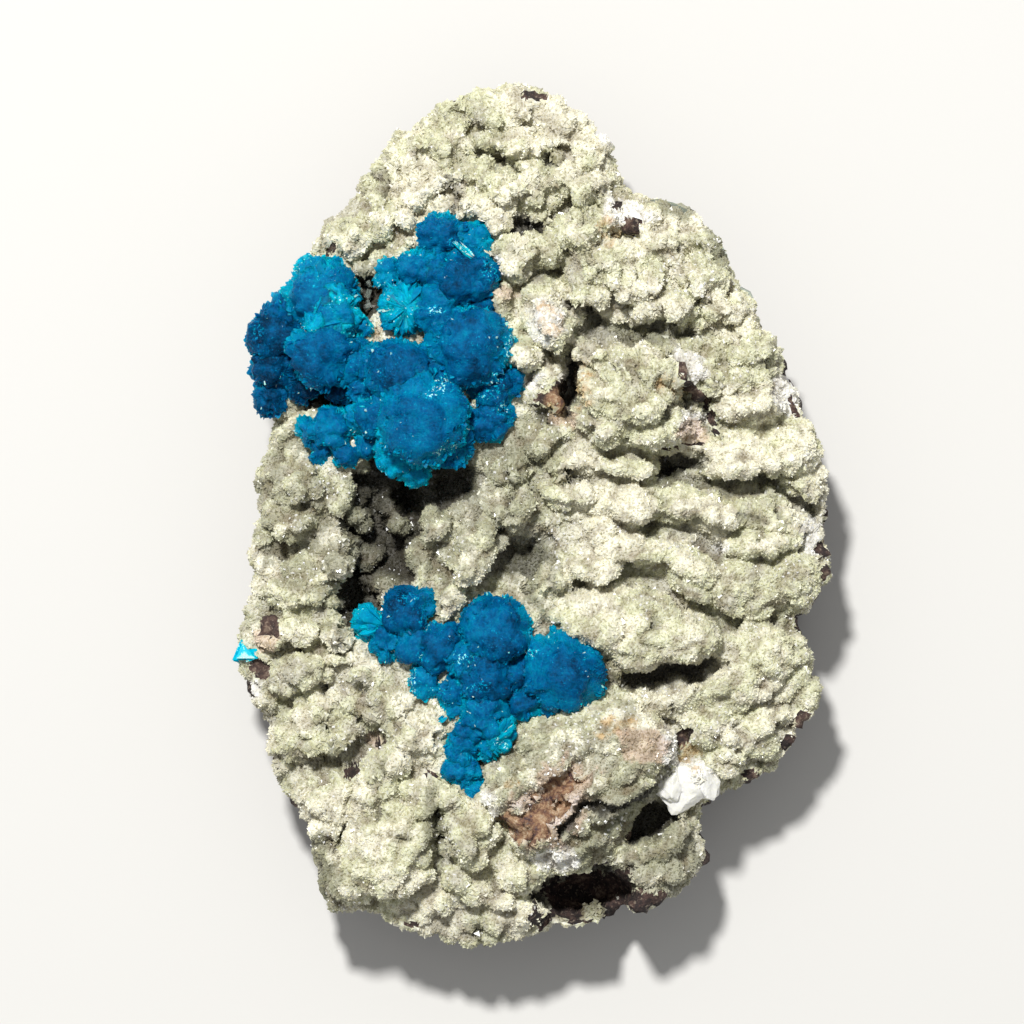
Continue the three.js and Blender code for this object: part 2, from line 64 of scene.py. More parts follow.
def setStops(ramp, stops):
    elements = ramp.color_ramp.elements
    while len(elements) > 1:
        elements.remove(elements[-1])
    for number, (place, colour) in enumerate(stops.items()):
        stop = elements[0] if number == 0 else elements.new(place)
        stop.position = place
        stop.color = paint(colour)


def addNode(tree, kind, settings=None, links=None):
    # A setting is a property of the node where it has one of that name, and else the value of an input,
    # in hex for a colour; the stops of a colour ramp are {place: hex colour}
    node = tree.nodes.new(kind)
    for key, value in (settings or {}).items():
        if key == "stops":
            setStops(node, value)
        elif isinstance(key, str) and hasattr(node, key):
            setattr(node, key, value)
        else:
            node.inputs[key].default_value = paint(value) if str(value).startswith("#") else value
    for key, source in (links or {}).items():
        tree.links.new(source, node.inputs[key])
    return node


# Steady noise, so that every run makes the same stone

def steadyRandom(a, b, c):
    wave = np.sin(a * 12.99 + b * 78.23 + c * 37.72) * 43758.55
    return 2 * (wave - np.floor(wave)) - 1


def softNoise(points, size):
    # Smooth values from -1 to 1 that change over about one size, in mm
    base = np.floor(points / size)
    part = points / size - base
    part = part * part * (3 - 2 * part)
    total = np.zeros(len(points))
    for corner in itertools.product((0, 1), repeat=3):
        weight = np.prod(np.where(corner, part, 1 - part), axis=1)
        total += weight * steadyRandom(*(base + corner).T)
    return total


def strayed(points, size, reach, shifts):
    # Points moved by up to this reach, which changes over about one size
    return points + reach * np.stack([softNoise(points + shift, size) for shift in shifts], axis=1)


def nearestCell(points, size):
    # Distance to the nearest of one jittered point in each cell, as a share of the cell's size,
    # and a value from -1 to 1 that belongs to that cell
    base = np.floor(points / size)
    nearest, value = np.full(len(points), 9.0), np.zeros(len(points))
    for step in itertools.product((-1, 0, 1), repeat=3):
        cell = base + step
        jitter = np.stack([steadyRandom(*(cell + shift).T) for shift in (0.3, 5.1, 9.7)], axis=1)
        away = cell + 0.5 + 0.42 * jitter - points / size
        distance = np.linalg.norm(away, axis=1)
        value = np.where(distance < nearest, jitter[:, 0], value)
        nearest = np.minimum(nearest, distance)
    return nearest, value


def cellDistance(points, size):
    return nearestCell(points, size)[0]


def knobShape(distance):
    # A round knob: 1 in the middle of its cell, 0 in the creases between the cells
    return np.clip(1 - (distance / 0.72) ** 2, 0, 1)


def smoothStep(value, low, high):
    t = np.clip((value - low) / (high - low), 0, 1)
    return t * t * (3 - 2 * t)


# The lump's plan: millimetres from its middle, +Y towards the narrow end

lumpOutline = [
    (-1.5, 42.9), (1.4, 42.1), (4.6, 40.1), (5.8, 39.2), (6.0, 38.0), (7.7, 37.1), (8.2, 34.3),
    (9.9, 32.2), (13.3, 31.3), (16.1, 30.0), (18.4, 27.4), (19.4, 25.2), (20.3, 23.2), (22.1, 21.6),
    (22.2, 20.0), (24.6, 16.6), (24.9, 14.3), (25.6, 13.2), (26.8, 11.2), (26.7, 9.8), (28.4, 8.2),
    (29.0, 6.9), (29.4, 2.5), (28.9, -0.6), (29.4, -4.4), (30.0, -5.9), (28.8, -7.4), (27.6, -9.4),
    (26.4, -10.0), (26.3, -11.1), (27.6, -13.0), (28.5, -16.4), (28.9, -18.3), (27.0, -20.9),
    (25.0, -23.9), (24.4, -25.1), (20.3, -27.0), (18.4, -27.6), (16.9, -29.0), (16.6, -30.4),
    (17.1, -34.1), (16.6, -35.7), (13.7, -38.2), (11.4, -39.4), (8.8, -39.1), (7.4, -40.0),
    (4.3, -41.1), (2.5, -40.7), (0.4, -41.8), (-5.9, -43.1), (-8.3, -42.5), (-13.4, -41.0),
    (-15.2, -39.6), (-20.0, -39.4), (-21.1, -37.1), (-21.6, -32.5), (-22.6, -30.4), (-23.8, -28.4),
    (-25.3, -26.5), (-26.2, -23.2), (-25.9, -21.0), (-27.6, -18.6), (-29.3, -14.7), (-28.9, -11.5),
    (-28.3, -9.2), (-27.6, -6.2), (-27.9, -3.0), (-26.9, -0.2), (-27.2, 3.5), (-26.6, 5.5),
    (-25.7, 7.0), (-25.4, 11.0), (-25.2, 15.0), (-24.9, 19.5), (-24.3, 22.8), (-22.2, 25.6),
    (-20.4, 29.6), (-17.8, 30.8), (-16.8, 33.6), (-15.6, 34.7), (-14.2, 36.4), (-13.4, 38.5),
    (-11.7, 38.3), (-8.4, 41.1), (-5.9, 42.1),
]
# Faces along which the lump was broken off: direction seen from above and lean inwards, in degrees
breaks = [
    (4, 14), (27, 24), (52, 17), (78, 28), (101, 16), (128, 22), (155, 12), (178, 20), (203, 13),
    (226, 26), (251, 17), (276, 30), (299, 18), (320, 25), (343, 16),
]
# The crusted block that lies cemented across the lump's lower right
blockCentre = (4.6, -27.2)
blockOutline = [
    (4.2, -18.6), (7.0, -18.3), (10.6, -18.4), (12.8, -20.1), (14.2, -21.6), (14.3, -24.6),
    (13.2, -26.8), (10.6, -29.4), (9.3, -32.4), (8.3, -34.1), (5.8, -35.3), (3.6, -36.0),
    (0.6, -35.7), (-0.9, -34.6), (-2.7, -31.2), (-4.6, -29.6), (-5.2, -27.6), (-4.4, -25.2),
    (-2.6, -23.8), (-1.0, -20.8), (1.6, -20.0),
]
# Lumps on the block: x, y, long radius, cross radius, turn in degrees, height
blockDomes = [
    (8.6, -21.6, 4.6, 2.4, 10, 1.3), (11.0, -24.2, 3.4, 1.8, 30, 1.2), (3.6, -22.4, 3.0, 2.0, 40, 1.2),
    (0.4, -24.8, 3.6, 2.0, 45, 1.3), (-2.6, -27.4, 2.2, 1.6, 50, 1.0), (6.6, -25.6, 3.6, 1.6, 25, 0.9),
    (2.8, -28.4, 3.0, 1.2, 40, 0.7), (8.6, -28.8, 3.6, 1.3, 28, 1.2), (4.4, -32.6, 3.0, 1.6, 20, 1.2),
]
# Hollows in the bed: x, y, long radius, cross radius, turn in degrees, depth
hollows = [
    (-15.4, -2.6, 10.5, 4.3, 80, 8.5),  # the cave on the left
    (-9.0, 3.0, 5.0, 3.6, 20, 4.5),  # its shallow side under the upper rosettes
    (-1.5, -5.2, 4.5, 3.2, 30, 3.6),
    (-16.6, 21.0, 3.6, 2.2, 75, 5.0),
    (-20.0, 12.0, 4.6, 2.2, 0, 5.0),
    (-1.0, 29.3, 2.1, 1.4, -25, 4.4),
    (3.8, 12.8, 1.3, 3.6, 0, 4.2),
    (14.8, 4.6, 3.6, 1.3, 12, 3.8),
    (10.5, 18.2, 8.2, 1.2, -4, 2.8),
    (13.8, -15.6, 6.0, 2.0, 8, 4.6),
    (11.6, -30.6, 3.6, 2.2, 30, 5.4),
    (5.4, -37.8, 6.2, 2.8, 5, 9.0),
    # pits between the knobs of the narrow end and of the upper right
    (-2.3, 34.9, 1.7, 0.8, -15, 2.3), (1.3, 35.8, 1.3, 0.6, 20, 1.9), (-5.9, 33.5, 1.5, 0.8, 0, 2.1),
    (-4.5, 36.2, 1.5, 0.6, 10, 1.9), (-10.2, 35.9, 1.5, 0.7, 15, 2.0), (-5.4, 38.8, 1.4, 0.6, -20, 1.7),
    (-12.9, 34.2, 1.3, 0.7, 30, 1.8), (-9.0, 32.8, 1.6, 0.7, 5, 2.0), (-13.6, 31.4, 1.2, 0.6, 10, 1.7),
    (3.1, 30.6, 1.6, 0.7, 60, 2.0), (5.9, 20.2, 2.0, 0.8, -50, 2.3), (16.2, 26.6, 1.5, 0.6, 65, 1.8),
    (8.8, 21.4, 1.8, 0.6, -15, 1.8), (13.8, 23.4, 1.6, 0.6, -10, 1.6), (-7.6, 40.2, 1.5, 0.5, 15, 1.4),
    (0.6, 38.2, 1.4, 0.5, -30, 1.6), (20.2, 18.6, 1.5, 0.6, -45, 1.8), (8.6, 28.4, 1.3, 0.6, -60, 1.7),
]
# Domes of druse on the bed, laid out as the block's
domes = [
    # narrow end
    (-4.0, 40.4, 7.0, 2.4, 12, 1.6), (2.6, 39.4, 3.6, 2.2, -36, 1.6), (-9.2, 37.4, 5.0, 2.0, 14, 1.3),
    (-2.6, 37.8, 4.6, 1.6, -10, 1.7), (6.2, 36.6, 2.2, 1.9, 0, 1.7), (-10.0, 34.0, 6.0, 2.3, 6, 1.5),
    (-1.6, 33.3, 5.0, 2.0, 0, 2.5), (4.0, 33.8, 3.0, 2.2, -15, 2.4), (-14.4, 30.2, 5.0, 2.6, 24, 1.6),
    (-6.0, 31.4, 4.0, 1.7, -5, 1.9), (-3.2, 29.9, 2.0, 1.4, -20, 2.2), (-18.0, 28.0, 3.2, 2.2, 40, 1.6),
    # upper right
    (-1.6, 26.0, 3.2, 2.3, -30, 2.4), (1.6, 27.0, 2.0, 1.6, 20, 2.2), (5.6, 29.0, 3.3, 2.3, 10, 2.9),
    (7.6, 26.0, 4.0, 2.3, -10, 3.1), (11.6, 29.4, 3.6, 1.8, -25, 2.1), (12.6, 27.0, 3.0, 2.0, -20, 2.2),
    (17.0, 27.6, 2.8, 2.2, -45, 1.8), (10.0, 23.4, 4.6, 1.8, -5, 2.9), (17.0, 24.2, 3.3, 2.5, -20, 2.3),
    (5.6, 22.6, 2.8, 2.5, -10, 3.2), (12.6, 21.0, 4.2, 1.5, -5, 2.8), (19.0, 21.2, 3.0, 2.0, -25, 2.3),
    (1.4, 19.3, 3.3, 2.6, -62, 4.2), (-2.8, 21.4, 2.6, 1.7, 85, 1.8), (-0.6, 16.2, 2.1, 1.8, 0, 2.4),
    (6.2, 16.2, 2.0, 1.2, 0, 2.2),
    # right side
    (9.6, 11.9, 5.0, 4.0, 0, 4.5), (7.4, 9.3, 3.0, 2.3, -20, 3.6), (12.4, 8.9, 4.0, 2.5, 10, 4.0),
    (12.6, 14.9, 5.0, 1.8, -8, 3.6), (16.4, 14.0, 2.6, 1.9, -35, 3.2), (21.6, 12.4, 3.6, 3.5, 90, 3.1),
    (22.0, 17.0, 2.6, 3.0, 30, 2.2), (22.6, 5.5, 5.6, 2.3, 3, 3.3), (26.4, 6.6, 2.6, 2.8, 0, 2.6),
    (27.0, 2.4, 2.3, 1.6, 0, 2.0), (17.2, 0.8, 5.2, 1.7, -13, 3.1), (10.0, 0.9, 4.8, 1.8, 3, 3.1),
    (24.2, -0.6, 4.6, 1.5, -5, 2.6), (23.2, -2.9, 4.2, 1.5, 12, 2.5), (10.0, -3.6, 4.6, 1.6, -8, 3.0),
    (16.0, -5.2, 4.0, 2.0, -30, 3.1), (6.4, -5.2, 3.2, 1.8, -10, 2.6), (16.2, -7.6, 2.4, 1.4, -30, 2.9),
    (21.0, -7.6, 4.6, 3.0, -10, 2.7), (26.2, -6.6, 2.3, 2.6, 0, 2.2),
    (9.6, -10.8, 7.6, 3.6, -8, 4.3), (14.6, -11.6, 4.4, 2.9, -15, 4.2), (11.2, -13.8, 4.2, 1.5, 0, 3.0),
    (14.2, -18.2, 5.2, 2.1, 5, 2.8), (20.2, -17.0, 5.0, 3.0, 15, 2.6), (24.0, -13.8, 4.0, 2.4, 0, 2.4),
    (18.2, -21.2, 4.2, 2.3, -20, 2.6), (23.2, -21.6, 3.2, 2.0, 40, 2.2), (19.6, -24.8, 2.2, 1.8, 0, 2.0),
    # middle
    (-2.0, 4.7, 2.4, 1.8, -20, 3.1), (0.8, 7.2, 1.9, 1.3, 0, 2.3), (3.4, 5.2, 2.4, 1.6, 0, 2.5),
    (-2.2, 1.1, 2.8, 2.4, 0, 3.8), (4.0, 2.0, 3.2, 1.5, 0, 2.6), (9.4, 4.7, 4.4, 1.2, -5, 2.5),
    (6.8, -1.5, 2.0, 1.6, 0, 2.3), (-2.2, -7.0, 2.4, 1.6, 0, 2.6), (1.8, -6.2, 2.2, 1.5, 0, 2.4),
    (-5.9, -3.4, 3.8, 1.6, 65, 4.4), (-10.2, -1.0, 2.2, 1.4, 10, 3.2), (-8.2, -8.6, 1.7, 2.0, 0, 2.4),
    (-13.8, 0.2, 2.5, 1.3, -62, 4.4),
    # the cave's stalked lumps
    (-17.6, 0.2, 1.5, 1.2, 90, 4.2), (-19.2, -3.6, 2.6, 1.3, 62, 5.6), (-16.8, -3.4, 1.9, 1.2, 8, 4.6),
    (-15.0, -6.8, 2.4, 1.7, -20, 5.0), (-19.0, -11.6, 1.5, 1.3, 90, 3.6),
    # left side
    (-24.0, 3.4, 3.4, 2.6, 0, 3.2), (-24.0, -0.5, 2.8, 2.0, 0, 2.8), (-23.6, -7.0, 3.2, 2.4, 0, 3.2),
    (-24.8, -11.4, 3.2, 1.9, 0, 2.4), (-22.2, -15.4, 3.6, 1.6, 8, 2.2), (-17.0, -15.3, 1.8, 1.3, -25, 1.8),
    (-26.0, -17.3, 2.0, 1.8, -20, 1.2), (-15.4, -18.5, 3.8, 2.0, 12, 2.2), (-22.0, -20.8, 2.8, 1.8, 20, 2.2),
    (-24.2, -23.2, 2.2, 1.8, 0, 1.8), (-19.6, -22.4, 3.4, 1.4, 25, 2.1), (-12.6, -22.2, 2.4, 2.0, -30, 2.4),
    (-10.0, -21.4, 2.6, 1.4, 90, 2.0), (-14.6, -25.2, 3.2, 2.2, 20, 2.8),
    # broad end
    (-20.3, -28.7, 2.4, 2.2, 0, 2.5), (-15.6, -28.2, 2.8, 2.0, 40, 2.6), (-11.0, -28.2, 2.0, 1.8, 0, 3.0),
    (-14.2, -33.6, 5.4, 5.0, 90, 4.6), (-17.6, -36.4, 2.8, 2.6, 0, 3.2), (-21.0, -31.3, 1.9, 1.6, 0, 1.8),
    (-6.4, -31.3, 4.2, 3.4, 75, 4.0), (-8.0, -28.2, 2.0, 1.6, 0, 3.0), (-7.8, -36.4, 1.6, 1.5, 0, 2.4),
    (-5.2, -37.8, 1.8, 1.6, 0, 2.2), (-9.4, -39.2, 1.6, 1.4, 0, 1.7), (-3.2, -38.8, 2.0, 1.7, 0, 2.4),
    (-0.8, -36.6, 1.8, 1.7, 0, 2.4), (-1.6, -40.8, 3.2, 1.3, 8, 1.8), (13.2, -32.8, 3.4, 1.7, 30, 3.4),
    (13.4, -35.6, 3.0, 1.5, 15, 2.4), (16.4, -27.0, 2.0, 2.2, 0, 2.2), (11.6, -38.2, 2.4, 1.0, 8, 2.0),
]
# Narrow grooves between the domes: half width, depth, then the points of the line
grooves = [
    [0.6, 2.6, (4.6, 15.2), (4.2, 13.0), (4.4, 11.0), (3.8, 9.8)],
    [0.5, 2.2, (17.6, 11.0), (18.0, 9.6), (18.1, 8.2)],
    [0.7, 2.6, (13.4, 3.6), (16.5, 3.0), (19.2, 2.0), (24.4, 2.4), (28.4, 0.4)],
    [0.6, 2.2, (12.0, -2.0), (15.2, -2.3), (18.6, -4.3)],
    [0.6, 2.0, (4.2, -7.4), (11.4, -6.5), (14.4, -7.8), (18.4, -10.8), (20.0, -11.2)],
    [0.6, 1.5, (-26.0, -20.0), (-23.0, -19.0), (-18.5, -17.0)],
    [0.7, 1.7, (-24.4, -26.6), (-18.5, -24.8), (-15.0, -22.4)],
    [0.6, 2.0, (-9.8, -30.2), (-9.9, -34.2), (-8.0, -34.8)],
    [0.7, 1.7, (-25.8, -4.0), (-22.6, -3.6), (-20.6, -1.6)],
    [0.6, 1.8, (0.6, 24.8), (3.3, 23.3)],
    [0.6, 2.0, (-1.0, 21.2), (0.0, 18.2), (2.5, 16.2)],
]


# Relief of the crust

reliefSettings = {
    "rimHeight": 14.0,  # top of the broken edge above the back
    "crownRise": 5.0,  # how much higher the middle of the bed stands
    "crownPower": 4,  # the higher, the flatter the middle
    "breakDepth": 2.5,  # the broken faces start this far below the rim
    "domePower": 0.62,  # 0.5 gives a round dome, 1 a pointed one
    "domeUneven": 0.35,  # share by which the height of a dome wanders
    "warps": [(3.6, 0.5), (1.5, 0.32)],  # domes and grooves wander: over how far, and by how much
    "knobSize": 3.2, "knobHeight": 1.3,  # the druse grows in knobs this far apart
    "warts": [(1.9, 0.85), (1.0, 0.3)],  # and each knob in smaller ones: size and height
    # Where the smaller ones stand higher or lower: ellipse, by how much
    "rough": [
        (-4, 33, 13, 11, 0, 0.8), (12, 20, 9, 11, 0, 0.35), (-22, -6, 7, 20, 0, 0.5),
        (-12, -34, 10, 8, 0, 0.1), (15, -8, 13, 15, 0, -0.35), (7, -26, 11, 6, 20, -0.3),
    ],
    "ragged": 0.1,  # height of the finest roughness
    "rugged": (4, 14, 1.3),  # from this place along Y to that one the knobs grow higher, by this share
    "domeGrowth": 0.25,  # and the domes by this part of it
    "sunkFrom": 0.6, "sunkOver": 3.5,  # a hollow darkens with clay and painted shade from this depth on, and over this much more
    "valleyClayAndShade": 0.35,  # how far the valleys between the knobs are darkened like the hollows, with clay and painted shade
    "holeSize": 2.1, "holeShare": 0.42, "holeDepth": 1.3,  # small holes between the knobs
    "lean": 0.3,  # shelves hang over towards the broad end by this much of their height
    "leanAside": 0.3,  # and to the right by this share of that
    "edgeFade": 0.06,  # but not near the edge
    "evenRounds": 40, "evenStep": 0.6,  # how often the points are moved towards even distances, and how far
}


def ellipseShare(x, y, spot):
    # Squared distance from the middle of a turned ellipse, 1 on its edge
    cx, cy, long, cross, turn = spot[:5]
    c, s = math.cos(math.radians(turn)), math.sin(math.radians(turn))
    along = ((x - cx) * c + (y - cy) * s) / long
    over = ((y - cy) * c - (x - cx) * s) / cross
    return along ** 2 + over ** 2


def spotMask(x, y, spots, edge=0.7):
    # 1 inside the ellipses and 0 outside, with an edge that noise frays
    fray = softNoise(np.stack([x, y, x * 0 + 3.3], axis=1), 1.1) * edge
    fray += softNoise(np.stack([x, y, x * 0 + 7.1], axis=1), 0.5) * edge * 0.8
    mask = np.zeros(len(x))
    for spot in spots:
        near = np.abs(x - spot[0]) + np.abs(y - spot[1]) < 3 * max(spot[2], spot[3])
        inside = 1 - ellipseShare(x[near], y[near], spot) + fray[near]
        mask[near] = np.maximum(mask[near], smoothStep(inside, -0.1, 0.25))
    return mask


def distanceToLine(x, y, points):
    nearest = np.full(len(x), 1e9)
    for (ax, ay), (bx, by) in zip(points, points[1:]):
        dx, dy = bx - ax, by - ay
        t = np.clip(((x - ax) * dx + (y - ay) * dy) / (dx * dx + dy * dy), 0, 1)
        nearest = np.minimum(nearest, np.hypot(x - ax - t * dx, y - ay - t * dy))
    return nearest


def outlineRadius(outline, centre, angle):
    # Distance from the centre to a closed outline, along each angle
    radius = np.zeros(len(angle))
    ux, uy = np.cos(angle), np.sin(angle)
    for (ax, ay), (bx, by) in zip(outline, outline[1:] + outline[:1]):
        px, py, dx, dy = ax - centre[0], ay - centre[1], bx - ax, by - ay
        across = ux * dy - uy * dx
        across = np.where(np.abs(across) < 1e-9, 1e-9, across)
        along = (uy * px - ux * py) / across
        reach = (px * dy - py * dx) / across
        hit = (along >= -1e-9) & (along <= 1 + 1e-9) & (reach > radius)
        radius = np.where(hit, reach, radius)
    return radius


def knobHeightAt(x, y, size, height):
    # Round knobs about one jittered point in each square of a grid
    column, row = np.floor(x / size), np.floor(y / size)
    nearest = np.full(len(x), 1e9)
    for i, j in itertools.product((-1, 0, 1), repeat=2):
        knobX = (column + i + 0.5 + 0.35 * steadyRandom(column + i, row + j, 1)) * size
        knobY = (row + j + 0.5 + 0.35 * steadyRandom(column + i, row + j, 2)) * size
        nearest = np.minimum(nearest, np.hypot(x - knobX, y - knobY))
    return height * np.clip(1 - (nearest / size) ** 2, 0, 1)


def domeHeight(x, y, spots, power):
    height = np.zeros(len(x))
    for spot in spots:
        inside = np.clip(1 - ellipseShare(x, y, spot), 0, 1)
        height = np.maximum(height, spot[5] * inside ** power)
    return height


def warped(x, y):
    flat = np.stack([x, y, x * 0], axis=1)
    for size, reach in reliefSettings["warps"]:
        x, y = x + reach * softNoise(flat + 11.3, size), y + reach * softNoise(flat + 47.9, size)
    return x, y


def lumpTop(x, y, share):
    # Height of the crust over the back, how far it overhangs there, and how far the place is darkened, as it
    # lies sunken, with clay and painted shade
    r = reliefSettings
    wx, wy = warped(x, y)
    bed = r["rimHeight"] + r["crownRise"] * (1 - share ** r["crownPower"])
    hollow = sum(spot[5] * np.clip(1 - ellipseShare(wx, wy, spot) ** 2, 0, 1) for spot in hollows)
    cut = np.zeros(len(x))
    for halfWidth, depth, *points in grooves:
        across = distanceToLine(wx, wy, points) / (2 * halfWidth)
        cut = np.maximum(cut, depth * np.clip(1 - across ** 2, 0, 1))
    dome = domeHeight(wx, wy, domes, r["domePower"])
    dome *= 1 + r["domeUneven"] * softNoise(np.stack([wx, wy, dome], axis=1), 2.3)
    low, high, extra = r["rugged"]
    growth = extra * smoothStep(y, low, high)
    knob = knobHeightAt(wx, wy, r["knobSize"], r["knobHeight"]) * (1 + growth)
    dome *= 1 + r["domeGrowth"] * growth
    # Hollows, grooves and the valleys between the knobs are darkened with clay and painted shade
    sunk = np.clip((hollow + cut - 1.2 * dome - r["sunkFrom"]) / r["sunkOver"], 0, 1)
    valley = smoothStep(0.9 - dome, 0, 0.9)
    valley *= smoothStep(1 - knob / (r["knobHeight"] * (1 + extra)), 0.45, 0.9)
    sunk = np.maximum(sunk, r["valleyClayAndShade"] * valley)
    return bed - hollow - cut + dome + knob, r["lean"] * (dome - cut - 1), sunk


def allowedShare(x, y, z):
    # How far a point at the edge has to move towards the middle to lie behind every broken face
    r = reliefSettings
    top = r["rimHeight"] - r["breakDepth"]
    share = np.ones(len(x))
    for direction, lean in breaks:
        ux, uy = math.cos(math.radians(direction)), math.sin(math.radians(direction))
        reach = max(px * ux + py * uy for px, py in lumpOutline)
        allowed = reach - (top - z) * math.tan(math.radians(lean))
        outwards = np.maximum(x * ux + y * uy, 1e-6)
        share = np.minimum(share, np.where(z < top, allowed / outwards, 1))
    return share


# Closed slabs: a top spread over an outline, a wall, and an underside

onTop, onWall, onUnderside = 0, 1, 2


def evened(grid):
    # Slides the inner points of a grid along its surface, so that they stand as close on steep
    # places as on flat ones
    for _ in range(reliefSettings["evenRounds"]):
        inner = grid[1:-1, 1:-1]
        normal = np.cross(grid[1:-1, 2:] - grid[1:-1, :-2], grid[2:, 1:-1] - grid[:-2, 1:-1])
        normal /= np.maximum(np.linalg.norm(normal, axis=2, keepdims=True), 1e-9)
        step = (grid[1:-1, 2:] + grid[1:-1, :-2] + grid[2:, 1:-1] + grid[:-2, 1:-1]) / 4 - inner
        step -= normal * (step * normal).sum(axis=2, keepdims=True)
        grid[1:-1, 1:-1] = inner + reliefSettings["evenStep"] * step
    return grid


def slab(outline, centre, settings, topAt, edgeShare):
    # Returns points, faces, and for each point the side it is on and how far it is darkened, as it lies
    # sunken, with clay and painted shade
    cells, floor = settings["cells"], settings["floor"]
    steps = np.linspace(-1, 1, cells + 1)
    a, b = [grid.ravel() for grid in np.meshgrid(steps, steps)]
    wide = np.abs(a) > np.abs(b)
    safeA, safeB = np.where(a == 0, 1, a), np.where(b == 0, 1, b)
    turn = np.where(wide, math.pi / 4 * b / safeA, math.pi / 2 - math.pi / 4 * a / safeB)
    signed = np.where(wide, a, b)
    share = np.abs(signed)
    angle = np.arctan2(signed * np.sin(turn), signed * np.cos(turn))
    reach = share * outlineRadius(outline, centre, angle)
    x, y = centre[0] + reach * np.cos(angle), centre[1] + reach * np.sin(angle)
    z, overhang, sunk = topAt(x, y, share)
    fade = smoothStep(1 - share, 0, reliefSettings["edgeFade"])
    aside = reliefSettings["leanAside"] * overhang
    row = cells + 1
    top = np.stack([x + aside * fade, y - overhang * fade, z], axis=1).reshape(row, row, 3)
    points = [evened(top).reshape(-1, 3)]
    kind, sunken = [np.full(len(x), onTop)], [sunk]

    corner = np.arange(cells * row).reshape(cells, row)[:, :-1].ravel()
    faces = [np.stack([corner, corner + 1, corner + row + 1, corner + row], axis=1)]
    side = np.arange(cells)
    ring = np.concatenate([side, side * row + cells, cells * row + cells - side, (cells - side) * row])
    rimX, rimY, rimZ, rimSunk = x[ring] - centre[0], y[ring] - centre[1], z[ring], sunk[ring]
    last, count = ring, len(x)
    rings = [(1 - step, 1.0, onWall) for step in settings["wallSteps"]]
    rings += [(0.0, inner, onUnderside) for inner in settings["undersideShares"]]
    for high, inner, ringKind in rings:
        level = floor + (rimZ - floor) * high
        inwards = edgeShare(rimX, rimY, level) * inner
        points.append(np.stack([centre[0] + rimX * inwards, centre[1] + rimY * inwards, level], axis=1))
        kind.append(np.full(len(ring), ringKind))
        sunken.append(rimSunk)
        new = count + np.arange(len(ring))
        faces.append(np.stack([last, new, np.roll(new, -1), np.roll(last, -1)], axis=1))
        last, count = new, count + len(ring)
    points.append(np.array([[*centre, floor]]))
    kind.append([onUnderside])
    sunken.append([0])
    faces.append(np.stack([last, np.full(len(last), count), np.roll(last, -1), np.roll(last, -1)], axis=1))
    return np.concatenate(points), np.concatenate(faces), np.concatenate(kind), np.concatenate(sunken)


def pointNormals(points, faces):
    across = np.cross(points[faces[:, 2]] - points[faces[:, 0]], points[faces[:, 3]] - points[faces[:, 1]])
    total = np.stack([
        sum(np.bincount(faces[:, k], across[:, axis], len(points)) for k in range(4)) for axis in range(3)
    ], axis=1)
    return total / np.maximum(np.linalg.norm(total, axis=1, keepdims=True), 1e-12)


def placed(name, data):
    # A new object in the scene
    thing = bpy.data.objects.new(name, data)
    scene.collection.objects.link(thing)
    return thing


def storeValues(mesh, values):
    # values: {name: a number or a vector for each point}
    for key, numbers in values.items():
        numbers = np.asarray(numbers, dtype=np.float32)
        kind, field = ("FLOAT", "value") if numbers.ndim == 1 else ("FLOAT_VECTOR", "vector")
        mesh.attributes.new(key, kind, "POINT").data.foreach_set(field, numbers.ravel())


def meshPiece(name, points, faces, materials, faceMaterial=None, values=None, smooth=True):
    # Points in the plan's millimetres; a face whose last two corners are alike is a triangle
    mesh = bpy.data.meshes.new(name)
    faceList = [face[:3] if len(face) == 4 and face[2] == face[3] else face for face in map(list, faces)]
    mesh.from_pydata(((points + planShift) * mm).tolist(), [], faceList)
    for material in materials:
        mesh.materials.append(material)
    if faceMaterial is not None:
        mesh.polygons.foreach_set("material_index", np.asarray(faceMaterial, dtype=np.int32))
    storeValues(mesh, values or {})
    mesh.polygons.foreach_set("use_smooth", [smooth] * len(mesh.polygons))
    mesh.update()
    return placed(name, mesh)


def finishPiece(piece, slot, node):
    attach(piece, "root")
    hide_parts(node)


# Materials

def newMaterial(name, surface):
    # surface: the Principled BSDF's own values; returns the material, its tree and the shader
    material = bpy.data.materials.new(name)
    material.use_nodes = True
    tree = material.node_tree
    shader = tree.nodes["Principled BSDF"]
    for key, value in surface.items():
        shader.inputs[key].default_value = value
    return material, tree, shader


druseColours = {
    # Noise over the crust: size in mm, detail
    "noise": {
        "areas": (9.0, 1.0), "patches": (3.2, 2.0), "mottle": (0.7, 3.0),
        "frost": (0.4, 2.0), "blotches": (1.2, 3.0),
    },
    "areaShare": 0.45, "otherShares": {"patches": 0.35, "mottle": 0.2},
    "areas": {0.38: "#c1bda9", 0.46: "#d5d5b2", 0.54: "#eeead4"},  # grey, greenish and cream
    "frost": "#f7f6ea",
    # What lies over these where the crust has such a value: colour and strength
    "covers": {
        # the olive-grey, the silt of the creases and the clay of the holes are partly painted shade
        "grey": ("#94937a", 1.0), "white": ("#f4f2ea", 1.0), "rust": ("#cba469", 0.7),
        "pink": ("#d3b6a2", 0.6), "crease": ("#77664d", 0.74), "sunken": ("#2f2b26", 0.9),
    },
}


